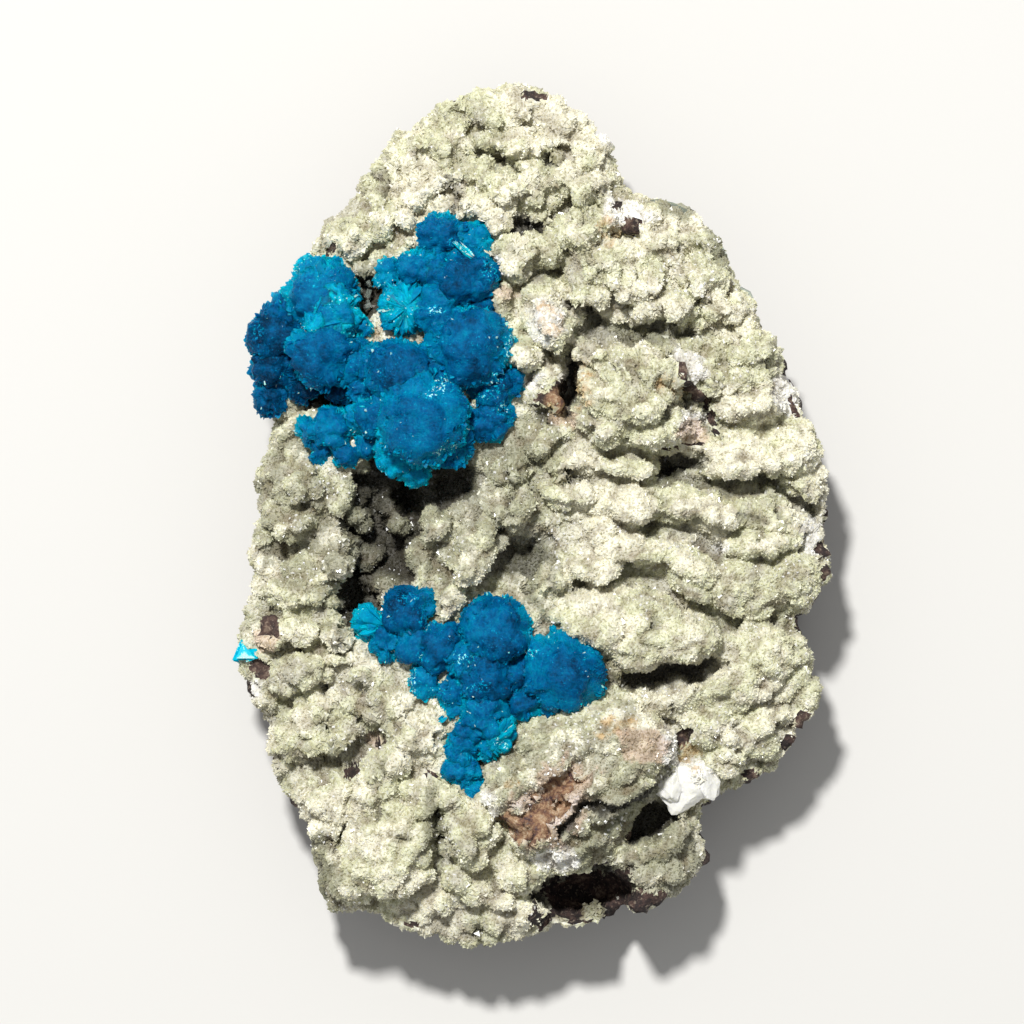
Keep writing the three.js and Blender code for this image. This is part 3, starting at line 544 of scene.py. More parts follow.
def druseColour(tree, place):
    # Grey, greenish and cream areas with frosted grains; over them olive-grey, mostly painted shade, white
    # rims, stains in blotches, silt and painted shade in the creases, and clay and painted shade in the holes
    c = druseColours
    noise = {
        key: addNode(tree, "ShaderNodeTexNoise", {
            "Scale": 1 / (size * mm), "Detail": detail, "Roughness": 0.55,
        }, {"Vector": place}).outputs["Fac"] for key, (size, detail) in c["noise"].items()
    }
    mixed = addNode(tree, "ShaderNodeMath", {"operation": "MULTIPLY", 1: c["areaShare"]}, {0: noise["areas"]})
    for key, share in c["otherShares"].items():
        mixed = addNode(tree, "ShaderNodeMath", {"operation": "MULTIPLY_ADD", 1: share}, {
            0: noise[key], 2: mixed.outputs[0],
        })
    areas = addNode(tree, "ShaderNodeValToRGB", {"stops": c["areas"]}, {"Fac": mixed.outputs[0]})
    frost = addNode(tree, "ShaderNodeValToRGB", {"stops": {0.5: "#000000", 0.68: "#a0a0a0"}}, {
        "Fac": noise["frost"],
    })
    blotch = addNode(tree, "ShaderNodeValToRGB", {"stops": {0.42: "#000000", 0.6: "#ffffff"}}, {
        "Fac": noise["blotches"],
    })
    colour = addNode(tree, "ShaderNodeMix", {"data_type": "RGBA", 7: c["frost"]}, {
        0: frost.outputs["Color"], 6: areas.outputs["Color"],
    })
    for key, (cover, strength) in c["covers"].items():
        amount = addNode(tree, "ShaderNodeAttribute", {"attribute_name": key}).outputs["Fac"]
        if key == "rust":
            amount = addNode(tree, "ShaderNodeMath", {"operation": "MULTIPLY"}, {
                0: amount, 1: blotch.outputs["Color"],
            }).outputs[0]
        amount = addNode(tree, "ShaderNodeMath", {"operation": "MULTIPLY", 1: strength}, {0: amount})
        colour = addNode(tree, "ShaderNodeMix", {"data_type": "RGBA", 7: cover}, {
            0: amount.outputs[0], 6: colour.outputs[2],
        })
    return colour.outputs[2]


def druseCrustMaterial():
    # Fine druse as it grew: a sugary crust, dull between the grains and slightly translucent
    material, tree, shader = newMaterial("druseCrustGrown", {
        "Roughness": 0.7, "IOR": 1.5, "Subsurface Weight": 0.3, "Subsurface Scale": 0.6 * mm,
        "Subsurface Radius": (1.0, 0.9, 0.6),
    })
    place = addNode(tree, "ShaderNodeTexCoord").outputs["Object"]
    tree.links.new(druseColour(tree, place), shader.inputs["Base Color"])
    grains = addNode(tree, "ShaderNodeTexNoise", {
        "Scale": 1 / (0.3 * mm), "Detail": 2.0, "Roughness": 0.55,
    }, {"Vector": place})
    bump = addNode(tree, "ShaderNodeBump", {"Strength": 0.8, "Distance": 0.12 * mm}, {
        "Height": grains.outputs["Fac"],
    })
    tree.links.new(bump.outputs["Normal"], shader.inputs["Normal"])
    return material


def druseCrystalMaterial():
    # The druse's own crystals: glassy faces on a milky inside, each a shade of its own
    material, tree, shader = newMaterial("druseCrystalGlassy", {"IOR": 1.54})
    place = addNode(tree, "ShaderNodeTexCoord").outputs["Object"]
    shade = addNode(tree, "ShaderNodeAttribute", {"attribute_name": "shade"}).outputs["Fac"]
    own = addNode(tree, "ShaderNodeValToRGB", {
        "stops": {0.0: "#c9c5b3", 0.35: "#e9e6d8", 0.6: "#ffffff"},
    }, {"Fac": shade})
    colour = addNode(tree, "ShaderNodeMix", {"data_type": "RGBA", "blend_type": "MULTIPLY", 0: 0.7}, {
        6: druseColour(tree, place), 7: own.outputs["Color"],
    })
    tree.links.new(colour.outputs[2], shader.inputs["Base Color"])
    # One crystal in eight has clean faces, the others are etched
    clean = addNode(tree, "ShaderNodeMapRange", {
        "From Min": 0.86, "From Max": 0.9, "To Min": 0.3, "To Max": 0.05,
    }, {"Value": shade})
    tree.links.new(clean.outputs["Result"], shader.inputs["Roughness"])
    return material


basaltColours = {
    # Noise over the rock: size in mm, detail, roughness
    "noise": {
        "weather": (1.8, 4.0, 0.7), "rust": (1.1, 5.0, 0.75), "specks": (0.35, 1.0, 0.55),
        "grit": (0.5, 4.0, 0.7), "chips": (2.2, 2.0, 0.55),
    },
    "weathered": {0.3: "#15100f", 0.46: "#2e2220", 0.58: "#533e36", 0.72: "#95826f"},
    "rusty": {0.38: "#4a373a", 0.46: "#7d5a45", 0.53: "#9c7a5b", 0.6: "#b99c7c", 0.7: "#dccfba"},
    "specks": "#b9a892", "speckShare": 0.35,
}


def basaltMaterial():
    # Basalt as it broke: matt, fine-grained and dark brown, weathered red-brown, rusty on the block
    c = basaltColours
    material, tree, shader = newMaterial("basaltBroken", {"Roughness": 0.85, "IOR": 1.55})
    place = addNode(tree, "ShaderNodeTexCoord").outputs["Object"]
    noise = {
        key: addNode(tree, "ShaderNodeTexNoise", {
            "Scale": 1 / (size * mm), "Detail": detail, "Roughness": rough,
        }, {"Vector": place}).outputs["Fac"] for key, (size, detail, rough) in c["noise"].items()
    }
    weathered = addNode(tree, "ShaderNodeValToRGB", {"stops": c["weathered"]}, {"Fac": noise["weather"]})
    rusty = addNode(tree, "ShaderNodeValToRGB", {"stops": c["rusty"]}, {"Fac": noise["rust"]})
    rust = addNode(tree, "ShaderNodeAttribute", {"attribute_name": "rust"})
    colour = addNode(tree, "ShaderNodeMix", {"data_type": "RGBA"}, {
        0: rust.outputs["Fac"], 6: weathered.outputs["Color"], 7: rusty.outputs["Color"],
    })
    specks = addNode(tree, "ShaderNodeValToRGB", {"stops": {0.6: "#000000", 0.68: "#ffffff"}}, {
        "Fac": noise["specks"],
    })
    amount = addNode(tree, "ShaderNodeMath", {"operation": "MULTIPLY", 1: c["speckShare"]}, {
        0: specks.outputs["Color"],
    })
    colour = addNode(tree, "ShaderNodeMix", {"data_type": "RGBA", 7: c["specks"]}, {
        0: amount.outputs[0], 6: colour.outputs[2],
    })
    tree.links.new(colour.outputs[2], shader.inputs["Base Color"])
    grit = addNode(tree, "ShaderNodeMath", {"operation": "MULTIPLY_ADD", 1: 0.8}, {
        0: noise["chips"], 2: noise["grit"],
    })
    bump = addNode(tree, "ShaderNodeBump", {"Strength": 0.9, "Distance": 0.35 * mm}, {
        "Height": grit.outputs[0],
    })
    tree.links.new(bump.outputs["Normal"], shader.inputs["Normal"])
    return material


cavansiteColours = {
    # From the blue along the blades to the turquoise through their edges, painted light; the last is a
    # painted highlight, a face in the light
    "hues": {
        0.03: "#002a47", 0.3: "#005a8a", 0.55: "#007ca6", 0.8: "#00a2c2", 0.95: "#08c0dc", 1.0: "#b4f3f2",
    },
    # Noise: size in mm, detail, roughness
    "noise": {
        "blades": (0.28, 3.0, 0.7), "patches": (1.0, 2.0, 0.6),
        "flocks": (2.6, 2.0, 0.55), "faces": (0.24, 1.0, 0.55), "lit": (0.3, 2.0, 0.7),
    },
    "shares": {"blades": 0.55, "patches": 0.5},  # of the noise in the hue
    "flockShare": 0.4,  # painted highlights: small faces that catch the light, in flocks
    "sparkShare": 0.6,  # and more of them in the bright places
    "dullRoughness": 0.36, "glossRoughness": 0.12,
}


def cavansiteMaterial():
    # Cavansite as it grew: glassy blades of a strong colour
    c = cavansiteColours
    material, tree, shader = newMaterial("cavansiteBladed", {
        "IOR": 1.54, "Specular IOR Level": 0.05, "Subsurface Weight": 0.6, "Subsurface Scale": 0.9 * mm,
        "Subsurface Radius": (0.1, 0.6, 1.0),
    })
    place = addNode(tree, "ShaderNodeTexCoord").outputs["Object"]
    # The grain runs out from the middle of each rosette, as its blades do
    grain = addNode(tree, "ShaderNodeAttribute", {"attribute_name": "grain"}).outputs["Vector"]
    noise = {
        key: addNode(tree, "ShaderNodeTexNoise", {
            "Scale": 1 / (size * mm), "Detail": detail, "Roughness": rough,
        }, {"Vector": grain if key == "blades" else place}).outputs["Fac"]
        for key, (size, detail, rough) in c["noise"].items()
    }
    hue, spark, gloss = [
        addNode(tree, "ShaderNodeAttribute", {"attribute_name": key}).outputs["Fac"]
        for key in ("hue", "spark", "gloss")
    ]
    for key, share in c["shares"].items():
        field = addNode(tree, "ShaderNodeMath", {"operation": "SUBTRACT", 1: 0.5}, {0: noise[key]})
        hue = addNode(tree, "ShaderNodeMath", {"operation": "MULTIPLY_ADD", 1: share}, {
            0: field.outputs[0], 2: hue,
        }).outputs[0]
    # painted highlights: specks that push the hue towards the palest
    flocks, faces, lit = [
        addNode(tree, "ShaderNodeValToRGB", {"stops": stops}, {"Fac": noise[key]}).outputs["Color"]
        for key, stops in (
            ("flocks", {0.42: "#101010", 0.62: "#ffffff"}), ("faces", {0.64: "#000000", 0.72: "#ffffff"}),
            ("lit", {0.54: "#000000", 0.6: "#ffffff"}),
        )
    ]
    for first, second, share in ((flocks, faces, c["flockShare"]), (lit, spark, c["sparkShare"])):
        both = addNode(tree, "ShaderNodeMath", {"operation": "MULTIPLY"}, {0: first, 1: second})
        hue = addNode(tree, "ShaderNodeMath", {"operation": "MULTIPLY_ADD", 1: share}, {
            0: both.outputs[0], 2: hue,
        }).outputs[0]
    colour = addNode(tree, "ShaderNodeValToRGB", {"stops": c["hues"]}, {"Fac": hue})
    tree.links.new(colour.outputs["Color"], shader.inputs["Base Color"])
    shine = addNode(tree, "ShaderNodeMapRange", {
        "To Min": c["dullRoughness"], "To Max": c["glossRoughness"],
    }, {"Value": gloss})
    tree.links.new(shine.outputs["Result"], shader.inputs["Roughness"])
    bump = addNode(tree, "ShaderNodeBump", {"Strength": 0.9, "Distance": 0.22 * mm}, {
        "Height": noise["blades"],
    })
    tree.links.new(bump.outputs["Normal"], shader.inputs["Normal"])
    return material


def clearCrystalMaterial():
    # Plates and single crystals of clear zeolite, faintly green
    return newMaterial("zeoliteClear", {
        "Base Color": paint("#c9d3c8"), "Roughness": 0.08, "IOR": 1.5, "Transmission Weight": 0.8,
    })[0]


def glassyCrystalMaterial():
    # The few larger crystals in the druse: white inside, with flat bright faces
    return newMaterial("zeoliteGlassy", {
        "Base Color": paint("#f1efe6"), "Roughness": 0.1, "IOR": 1.5, "Subsurface Weight": 0.4,
        "Subsurface Scale": 0.6 * mm, "Subsurface Radius": (1.0, 1.0, 0.8),
    })[0]


druseCrust, druseCrystal, basalt = druseCrustMaterial(), druseCrystalMaterial(), basaltMaterial()
cavansite, clearCrystal, glassyCrystal = cavansiteMaterial(), clearCrystalMaterial(), glassyCrystalMaterial()
print("materials made:", len(bpy.data.materials))


# The lump of basalt with its crust

lumpSettings = {
    "cells": 250,  # squares along each side of the top's grid
    "wallSteps": [0.03, 0.07, 0.12, 0.18, 0.25, 0.33, 0.42, 0.51, 0.6, 0.69, 0.78, 0.87, 0.94, 1.0],
    "undersideShares": [0.985, 0.95, 0.9, 0.82, 0.73, 0.63, 0.52, 0.4, 0.27, 0.14],
    "rimLevel": reliefSettings["rimHeight"], "crustThickness": 2.0,  # the crust ends so far below the rim
    "floor": 0.0, "pitDepth": 0.35,  # of the underside, which stays flat to rest on
}
restingStep = 7  # one in so many points of an underside has no pit


def crustRelief(points, normals):
    # How each point moves, how far it lies in a crease, which is darkened with silt and painted shade, and
    # how far in a hole
    r = reliefSettings
    wander = strayed(points, 1.3, 0.5, (3.1, 8.7, 15.9))
    knobs = [knobShape(cellDistance(wander, size)) for size, _ in r["warts"]]
    rough = np.ones(len(points))
    for spot in r["rough"]:
        share = np.sqrt(ellipseShare(points[:, 0], points[:, 1], spot))
        rough += spot[5] * smoothStep(1.25 - share, 0, 0.6)
    rise = rough * sum(height * (knob - 0.5) for knob, (_, height) in zip(knobs, r["warts"]))
    hole = smoothStep(softNoise(wander + 31.7, r["holeSize"]), r["holeShare"], 0.75)
    hole *= smoothStep(1 - knobs[0], 0.3, 0.8)
    # creases darken with silt and painted shade
    crease = smoothStep(1 - knobs[0], 0.5, 1.0) * 0.6 + smoothStep(1 - knobs[1], 0.55, 1.0) * 0.4
    rise += r["ragged"] * softNoise(points, 0.5) - r["holeDepth"] * hole
    return normals * rise[:, None], crease, hole


def basaltRelief(points):
    # Broken rock: chips that end in steps, and grit
    chips = np.round(softNoise(points, 1.9) * 2.5) / 2.5 * 0.5
    return 0.6 * softNoise(points, 3.8) + chips + 0.35 * softNoise(points, 0.8)


def dressSlab(name, points, faces, kind, sunken, spots, settings):
    # Roughens a slab and gives its faces crust or basalt
    x, y, z = points.T
    floor, underside = settings["floor"], kind == onUnderside
    crustDepth = 1 + 0.5 * softNoise(points, 5.0) + 0.3 * softNoise(points, 1.3)
    crustEnd = settings["rimLevel"] - settings["crustThickness"] * crustDepth
    bare = np.where(underside, 1, spotMask(x, y, spots["bare"]))
    bare = np.where(kind == onWall, smoothStep(crustEnd - z, -0.2, 0.3), bare)
    normals = pointNormals(points, faces)
    low = smoothStep(z - floor, 0, 1.6)  # nothing moves where the slab rests
    relief, crease, hole = crustRelief(points, normals)
    move = relief * (1 - bare)[:, None] * low[:, None]
    move += normals * (basaltRelief(points) * bare * low)[:, None]
    points = points + move
    pits = smoothStep(softNoise(points, 6.0) + 0.4 * softNoise(points, 1.8), -0.2, 0.6)
    pits[::restingStep] = 0
    points[underside, 2] = floor + settings["pitDepth"] * pits[underside]
    values = {key: spotMask(x, y, spots[key]) for key in ("white", "rust", "pink")}
    # painted shade: olive-grey over the shaded places, and over the darker ones
    values["grey"] = np.maximum(0.8 * spotMask(x, y, spots["grey"]), 0.6 * spotMask(x, y, spots["dim"], 1.5))
    # clay and painted shade in the hollows and the small holes
    values["sunken"] = np.maximum(sunken, 0.8 * hole) * (1 - bare)
    # silt and painted shade in the creases
    values["crease"] = crease * (1 - bare)
    values["crust"] = (bare < 0.5) * 1.0  # where the druse's crystals grow; the larger ones grow in flocks
    values["glassy"] = values["crust"] * (sunken < 0.3) * smoothStep(softNoise(points, 2.8), 0.1, 0.6)
    return meshPiece(name, points, faces, [druseCrust, basalt], bare[faces].mean(axis=1) > 0.5, values)


# Places on the lump: x, y, long radius, cross radius, turn in degrees
lumpSpots = {
    "bare": [
        (0.9, 11.3, 1.2, 0.7, 30), (2.5, 12.5, 0.7, 1.2, -25), (2.9, 10.6, 0.8, 0.6, 20),
        (14.7, 14.5, 1.3, 0.4, -62), (15.7, 13.0, 1.5, 0.5, -35), (16.9, 11.6, 1.2, 0.6, -60),
        (18.1, 9.4, 0.6, 1.5, 10), (15.0, 6.9, 2.4, 0.3, 8), (26.6, 11.2, 0.9, 1.2, 0),
        (29.2, -3.2, 0.7, 1.1, 0), (29.6, -5.8, 0.8, 0.9, 0), (27.3, -20.4, 1.0, 0.9, 0),
        (25.6, -22.8, 0.8, 1.0, 0), (22.4, -26.1, 1.6, 0.6, -20), (16.8, -36.2, 0.8, 0.9, 0),
        (5.6, -40.0, 5.2, 2.3, 4), (10.2, -39.0, 3.2, 1.3, 14), (-28.4, -18.0, 0.7, 1.2, 0),
        (-12.0, -41.0, 1.4, 0.6, 15), (-18.2, -25.4, 1.3, 0.7, 30), (-10.0, -26.0, 0.8, 0.6, 0),
        (-15.3, -22.6, 0.8, 0.6, 20), (-26.1, -11.0, 1.0, 1.2, 30), (-27.2, -15.3, 1.4, 0.9, -20),
        (0.2, 42.0, 1.6, 0.8, -15), (8.7, 30.9, 0.7, 0.6, 0), (10.1, 28.7, 0.9, 1.2, -30),
        (-20.2, 26.5, 0.5, 0.8, -10), (15.0, -22.2, 1.2, 0.8, 40), (5.0, -38.0, 5.4, 2.4, 5),
    ],
    "white": [
        (15.4, -27.0, 1.9, 2.5, 10), (17.4, -26.4, 1.2, 1.9, 0), (1.4, 19.3, 2.4, 2.0, -62),
        (25.6, 12.0, 1.4, 2.0, 0), (-3.6, 25.6, 0.7, 0.9, 0), (28.0, -1.8, 0.9, 2.2, 0),
        (15.8, 14.8, 2.4, 1.2, -40), (15.6, 9.4, 1.8, 1.2, 0), (9.2, 30.2, 2.6, 1.6, -20),
        (3.6, 13.4, 0.8, 2.0, 0), (0.2, 13.4, 1.2, 1.0, 0), (19.0, -3.2, 0.9, 0.5, 0),
        (-27.8, -17.4, 0.8, 1.0, 0), (6.8, 38.6, 0.8, 2.0, 20),
    ],
    # painted shade: the crust turns olive where shade falls, in the middle, in the cave, under the rosettes
    # and under the block
    "dim": [
        (-7.0, 0.5, 5.5, 7.0, 20), (-1.5, 0.0, 3.0, 8.0, 10), (-16.0, -3.0, 5.0, 8.0, 0),
        (-1.0, 8.0, 4.0, 3.0, 0), (-23.5, 2.0, 3.5, 10.0, 0), (12.0, -35.0, 5.0, 5.0, 0),
    ],
    # olive-grey crust, most of it painted shade in hollows, under ledges and in the shadow the block casts to
    # its right
    "grey": [
        (-20.6, -36.0, 1.6, 3.9, 8), (-15.5, 23.0, 2.4, 3.2, 20), (-17.6, 0.2, 1.8, 1.8, 0),
        (-16.0, -4.5, 4.0, 3.5, 0), (-3.0, 6.5, 3.6, 2.0, -20), (13.5, -26.8, 1.4, 1.9, -20),
        (14.2, 30.6, 2.4, 0.9, -20), (18.6, 26.8, 1.8, 1.2, -50), (-10.0, -30.5, 1.0, 4.0, 5),
        (14.0, -34.0, 3.4, 3.4, 0),
    ],
    "rust": [
        (1.8, 19.2, 1.9, 1.4, -62), (7.6, 28.2, 1.6, 1.2, 0), (15.6, -24.2, 1.5, 1.1, 0),
        (-15.3, 18.2, 1.3, 0.7, 0), (2.2, 11.0, 1.8, 1.3, 40), (14.0, 12.6, 1.8, 0.8, -40),
        (5.0, 13.0, 1.0, 2.4, 0),
    ],
    "pink": [
        (16.0, 8.4, 1.8, 1.2, -10), (-15.6, -22.4, 1.2, 0.8, 0), (-2.6, 22.0, 1.2, 0.9, 0),
        (3.4, 9.6, 1.2, 0.9, 0), (-26.4, -12.0, 1.2, 1.6, 0),
    ],
}
lumpSlab = slab(lumpOutline, (0, 0), lumpSettings, lumpTop, allowedShare)
basaltLump = dressSlab("basaltLump", *lumpSlab, lumpSpots, lumpSettings)
finishPiece(basaltLump, "basalt", "matrix")
print("lump made:", len(basaltLump.data.polygons), "faces")


# The crusted block

blockSettings = {
    "cells": 84,
    "wallSteps": [0.06, 0.14, 0.24, 0.36, 0.5, 0.64, 0.78, 0.9, 1.0],
    "undersideShares": [0.93, 0.8, 0.6, 0.35],
    "rimLevel": 19.5, "crustThickness": 2.4,
    "top": 22.5, "floor": 12.0, "pitDepth": 0,
    "footLevel": 15, "footIn": 0.05,  # below this level it is narrower, by this share
    "edgeDrop": 3,  # its face falls by so much towards its edge
    "bareDrop": 0.7,  # and lies so much lower where it is bare
    "knobShare": 0.8,  # of the height of the lump's knobs
    "ledgeFrom": (-1, -33.2), "ledgeTo": (14, -25.4), "ledgeDrop": 3.4, "ledgeRun": 1.6,
    "crackDepth": 2.2, "crackWidth": 0.7,
}
blockCrack = [(2.6, -31.4), (3.4, -31), (4.5, -30), (5, -29), (8, -29), (10, -28.5), (12, -27.3), (13.5, -26)]
blockBareSpots = [
    (-1.6, -30.9, 1.7, 1.9, 20), (0.2, -30.8, 1.8, 1.9, 0), (1.7, -28.6, 2.2, 1.7, 50),
    (3.0, -26.9, 2.3, 1.2, 20),
]
blockSpots = {
    "bare": blockBareSpots,
    "white": [
        (2.8, -29.6, 3.4, 0.7, 42), (2.4, -34.4, 2.6, 1.2, 5), (-4.3, -28.4, 1.0, 1.6, 20),
        (13.6, -22.8, 0.8, 2.4, 5), (-0.6, -28.4, 1.2, 0.5, 25),
    ],
    # the whole block a little darker, in the same olive as the painted shade
    "dim": [(5.0, -27.0, 10.0, 6.5, 20)],
    # painted shade on the block's lower tier and under its ledge
    "grey": [(4.8, -33.0, 3.6, 2.4, 30), (8.6, -27.2, 3.0, 1.0, 15), (7.2, -31.0, 2.6, 1.6, 30)],
    "rust": blockBareSpots + [
        (8.8, -21.0, 2.6, 0.8, 15), (7.7, -20.7, 0.9, 0.9, 0), (-2.0, -26.6, 0.9, 0.5, 0),
    ],
    "pink": [(2.0, -28.6, 5.0, 3.4, 45), (11.0, -22.6, 2.4, 2.0, 0)],
}


def blockFace(x, y, share):
    # The same for the block as lumpTop gives for the lump
    r, s = reliefSettings, blockSettings
    (ax, ay), (bx, by) = s["ledgeFrom"], s["ledgeTo"]
    side = ((bx - ax) * (y - ay) - (by - ay) * (x - ax)) / math.hypot(bx - ax, by - ay)
    step = s["ledgeDrop"] * np.clip(-side / s["ledgeRun"], 0, 1)
    wx, wy = warped(x, y)
    across = distanceToLine(wx, wy, blockCrack) / s["crackWidth"]
    cut = s["crackDepth"] * np.clip(1 - across ** 2, 0, 1)
    bare = spotMask(x, y, blockBareSpots)
    dome = domeHeight(wx, wy, blockDomes, r["domePower"]) * (1 - bare)
    knob = knobHeightAt(x, y, r["knobSize"], r["knobHeight"] * s["knobShare"]) * (1 - 0.7 * bare)
    height = s["top"] + dome + knob - step - s["edgeDrop"] * share ** 6 - cut - s["bareDrop"] * bare
    return height, r["lean"] * (dome - 0.5), np.clip(cut / 1.6, 0, 1)


def blockShare(x, y, z):
    return 1 - blockSettings["footIn"] * (z < blockSettings["footLevel"])


blockSlab = slab(blockOutline, blockCentre, blockSettings, blockFace, blockShare)
crustedBlock = dressSlab("crustedBlock", *blockSlab, blockSpots, blockSettings)
finishPiece(crustedBlock, "druse", "matrix")
print("block made:", len(crustedBlock.data.polygons), "faces")


# The druse's crystals, grown over the crust by Geometry Nodes

druseSettings = {
    "fine": {"Spacing": 0.26 * mm, "Size": 0.29 * mm, "Where": "crust"},
    "coarse": {"Spacing": 0.42 * mm, "Size": 0.46 * mm, "Where": "crust"},
    "glassy": {"Spacing": 0.7 * mm, "Size": 0.26 * mm, "Where": "glassy"},
    "seed": 11, "glassySeed": 31,
    "bands": [-60, -14, 12, 60],  # the lump's fine crystals are three pieces, parted along Y at these places
}


def shapeObject(name, points, faces):
    # A unit shape that Geometry Nodes copies; it never shows itself
    mesh = bpy.data.meshes.new(name)
    mesh.from_pydata(points, [], faces)
    return bpy.data.objects.new(name, mesh)


def grainShape():
    # A sharp little crystal, 1 high over its root
    points = [(-0.56, -0.42, -0.3), (0.6, -0.37, -0.3), (0.0, 0.64, -0.3), (0.08, 0.02, 0.48)]
    return shapeObject("druseCrystalShape", points, [(0, 2, 1), (0, 1, 3), (1, 2, 3), (2, 0, 3)])


def newTree(name, inputs):
    # inputs: {name: socket type}; returns the tree, its input node and its output node
    tree = bpy.data.node_groups.new(name, "GeometryNodeTree")
    tree.interface.new_socket("Geometry", in_out="INPUT", socket_type="NodeSocketGeometry")
    for key, kind in inputs.items():
        tree.interface.new_socket(key, in_out="INPUT", socket_type=kind)
    tree.interface.new_socket("Geometry", in_out="OUTPUT", socket_type="NodeSocketGeometry")
    return tree, tree.nodes.new("NodeGroupInput"), tree.nodes.new("NodeGroupOutput")


def grown(name, source, tree, inputs):
    # Runs a tree on a copy of the source and returns the result as a plain mesh
    soil = placed(name, source.data)
    modifier = soil.modifiers.new("grow", "NODES")
    modifier.node_group = tree
    for item in tree.interface.items_tree:
        if item.item_type == "SOCKET" and item.in_out == "INPUT" and item.name in inputs:
            modifier[item.identifier] = inputs[item.name]
    bpy.context.view_layer.update()
    done = soil.evaluated_get(bpy.context.evaluated_depsgraph_get())
    mesh = bpy.data.meshes.new_from_object(done)
    soil.modifiers.remove(modifier)
    mesh.materials.clear()
    mesh.materials.append(inputs["Material"])
    mesh.polygons.foreach_set("material_index", [0] * len(mesh.polygons))
    soil.data = mesh
    mesh.name = name
    return soil


def copiesOn(tree, given, shape, points, rotation, lean, seed, scale):
    # Copies of a shape on points, each turned at random about its own axis and tilted by up to this lean
    angles = addNode(tree, "FunctionNodeRandomValue", {
        "data_type": "FLOAT_VECTOR", 0: (-lean, -lean, 0), 1: (lean, lean, 2 * math.pi), "Seed": seed,
    })
    own = addNode(tree, "FunctionNodeEulerToRotation", links={0: angles.outputs[0]})
    turned = addNode(tree, "FunctionNodeRotateRotation", {"rotation_space": "LOCAL"}, {
        "Rotation": rotation, "Rotate By": own.outputs[0],
    })
    form = addNode(tree, "GeometryNodeObjectInfo", links={"Object": given.outputs[shape]})
    copies = addNode(tree, "GeometryNodeInstanceOnPoints", links={
        "Points": points, "Instance": form.outputs["Geometry"],
        "Rotation": turned.outputs["Rotation"], "Scale": scale,
    })
    real = addNode(tree, "GeometryNodeRealizeInstances", links={"Geometry": copies.outputs["Instances"]})
    return addNode(tree, "GeometryNodeSetMaterial", links={
        "Geometry": real.outputs["Geometry"], "Material": given.outputs["Material"],
    }).outputs["Geometry"]


def druseTree():
    tree, given, result = newTree("growDruse", {
        "Spacing": "NodeSocketFloat", "Size": "NodeSocketFloat", "Seed": "NodeSocketInt",
        "From": "NodeSocketFloat", "To": "NodeSocketFloat", "Where": "NodeSocketString",
        "Crystal": "NodeSocketObject", "Material": "NodeSocketMaterial",
    })
    position = addNode(tree, "GeometryNodeInputPosition").outputs[0]
    along = addNode(tree, "ShaderNodeSeparateXYZ", links={0: position}).outputs["Y"]
    ends = [
        addNode(tree, "FunctionNodeCompare", {"operation": operation}, {"A": along, "B": given.outputs[key]})
        for operation, key in (("GREATER_THAN", "From"), ("LESS_EQUAL", "To"))
    ]
    band = addNode(tree, "FunctionNodeBooleanMath", {"operation": "AND"}, {
        0: ends[0].outputs[0], 1: ends[1].outputs[0],
    })
    crust = addNode(tree, "GeometryNodeInputNamedAttribute", {"data_type": "FLOAT"}, {
        "Name": given.outputs["Where"],
    })
    spread = addNode(tree, "GeometryNodeDistributePointsOnFaces", {
        "distribute_method": "POISSON", "Density Max": 3e7,
    }, {
        "Mesh": given.outputs["Geometry"], "Selection": band.outputs[0],
        "Distance Min": given.outputs["Spacing"], "Density Factor": crust.outputs["Attribute"],
        "Seed": given.outputs["Seed"],
    })
    anyShade = addNode(tree, "FunctionNodeRandomValue", {"data_type": "FLOAT", 2: 0.0, 3: 1.0, "Seed": 3})
    shade = addNode(tree, "GeometryNodeStoreNamedAttribute", {
        "data_type": "FLOAT", "domain": "POINT", "Name": "shade",
    }, {
        "Geometry": spread.outputs["Points"], "Value": anyShade.outputs[1],
    })
    anySize = addNode(tree, "FunctionNodeRandomValue", {
        "data_type": "FLOAT_VECTOR", 0: (0.6, 0.6, 0.6), 1: (1.6, 1.5, 1.4), "Seed": 8,
    })
    size = addNode(tree, "ShaderNodeVectorMath", {"operation": "SCALE"}, {
        0: anySize.outputs[0], "Scale": given.outputs["Size"],
    })
    crystals = copiesOn(tree, given, "Crystal", shade.outputs["Geometry"], spread.outputs["Rotation"],
                        0.4, 5, size.outputs["Vector"])
    tree.links.new(crystals, result.inputs["Geometry"])
    return tree


def blockyShape():
    # A blocky crystal with a slanting end face, half of it standing out
    points = [(-0.5, -0.3, -0.5), (0.5, -0.3, -0.5), (0.5, 0.3, -0.5), (-0.5, 0.3, -0.5),
              (-0.45, -0.28, 0.35), (0.45, -0.28, 0.5), (0.45, 0.28, 0.42), (-0.45, 0.28, 0.25)]
    faces = [(3, 2, 1, 0), (4, 5, 6, 7), (0, 1, 5, 4), (1, 2, 6, 5), (2, 3, 7, 6), (3, 0, 4, 7)]
    return shapeObject("glassyCrystalShape", points, faces)


growDruse, druseShape, glassyShape = druseTree(), grainShape(), blockyShape()
sharp = {"Crystal": druseShape, "Material": druseCrystal}
crystalKinds = {"fine": sharp, "coarse": sharp, "glassy": {"Crystal": glassyShape, "Material": glassyCrystal}}


def growCrystals(name, soil, kind, seed, low, high):
    # Crystals of one kind over the part of the soil that lies between two places along Y
    crystals = grown(name, soil, growDruse, {
        **druseSettings[kind], **crystalKinds[kind], "Seed": seed, "From": low * mm, "To": high * mm,
    })
    finishPiece(crystals, "druse", "matrix")
    print("druse crystals made:", crystals.name, len(crystals.data.polygons), "faces")


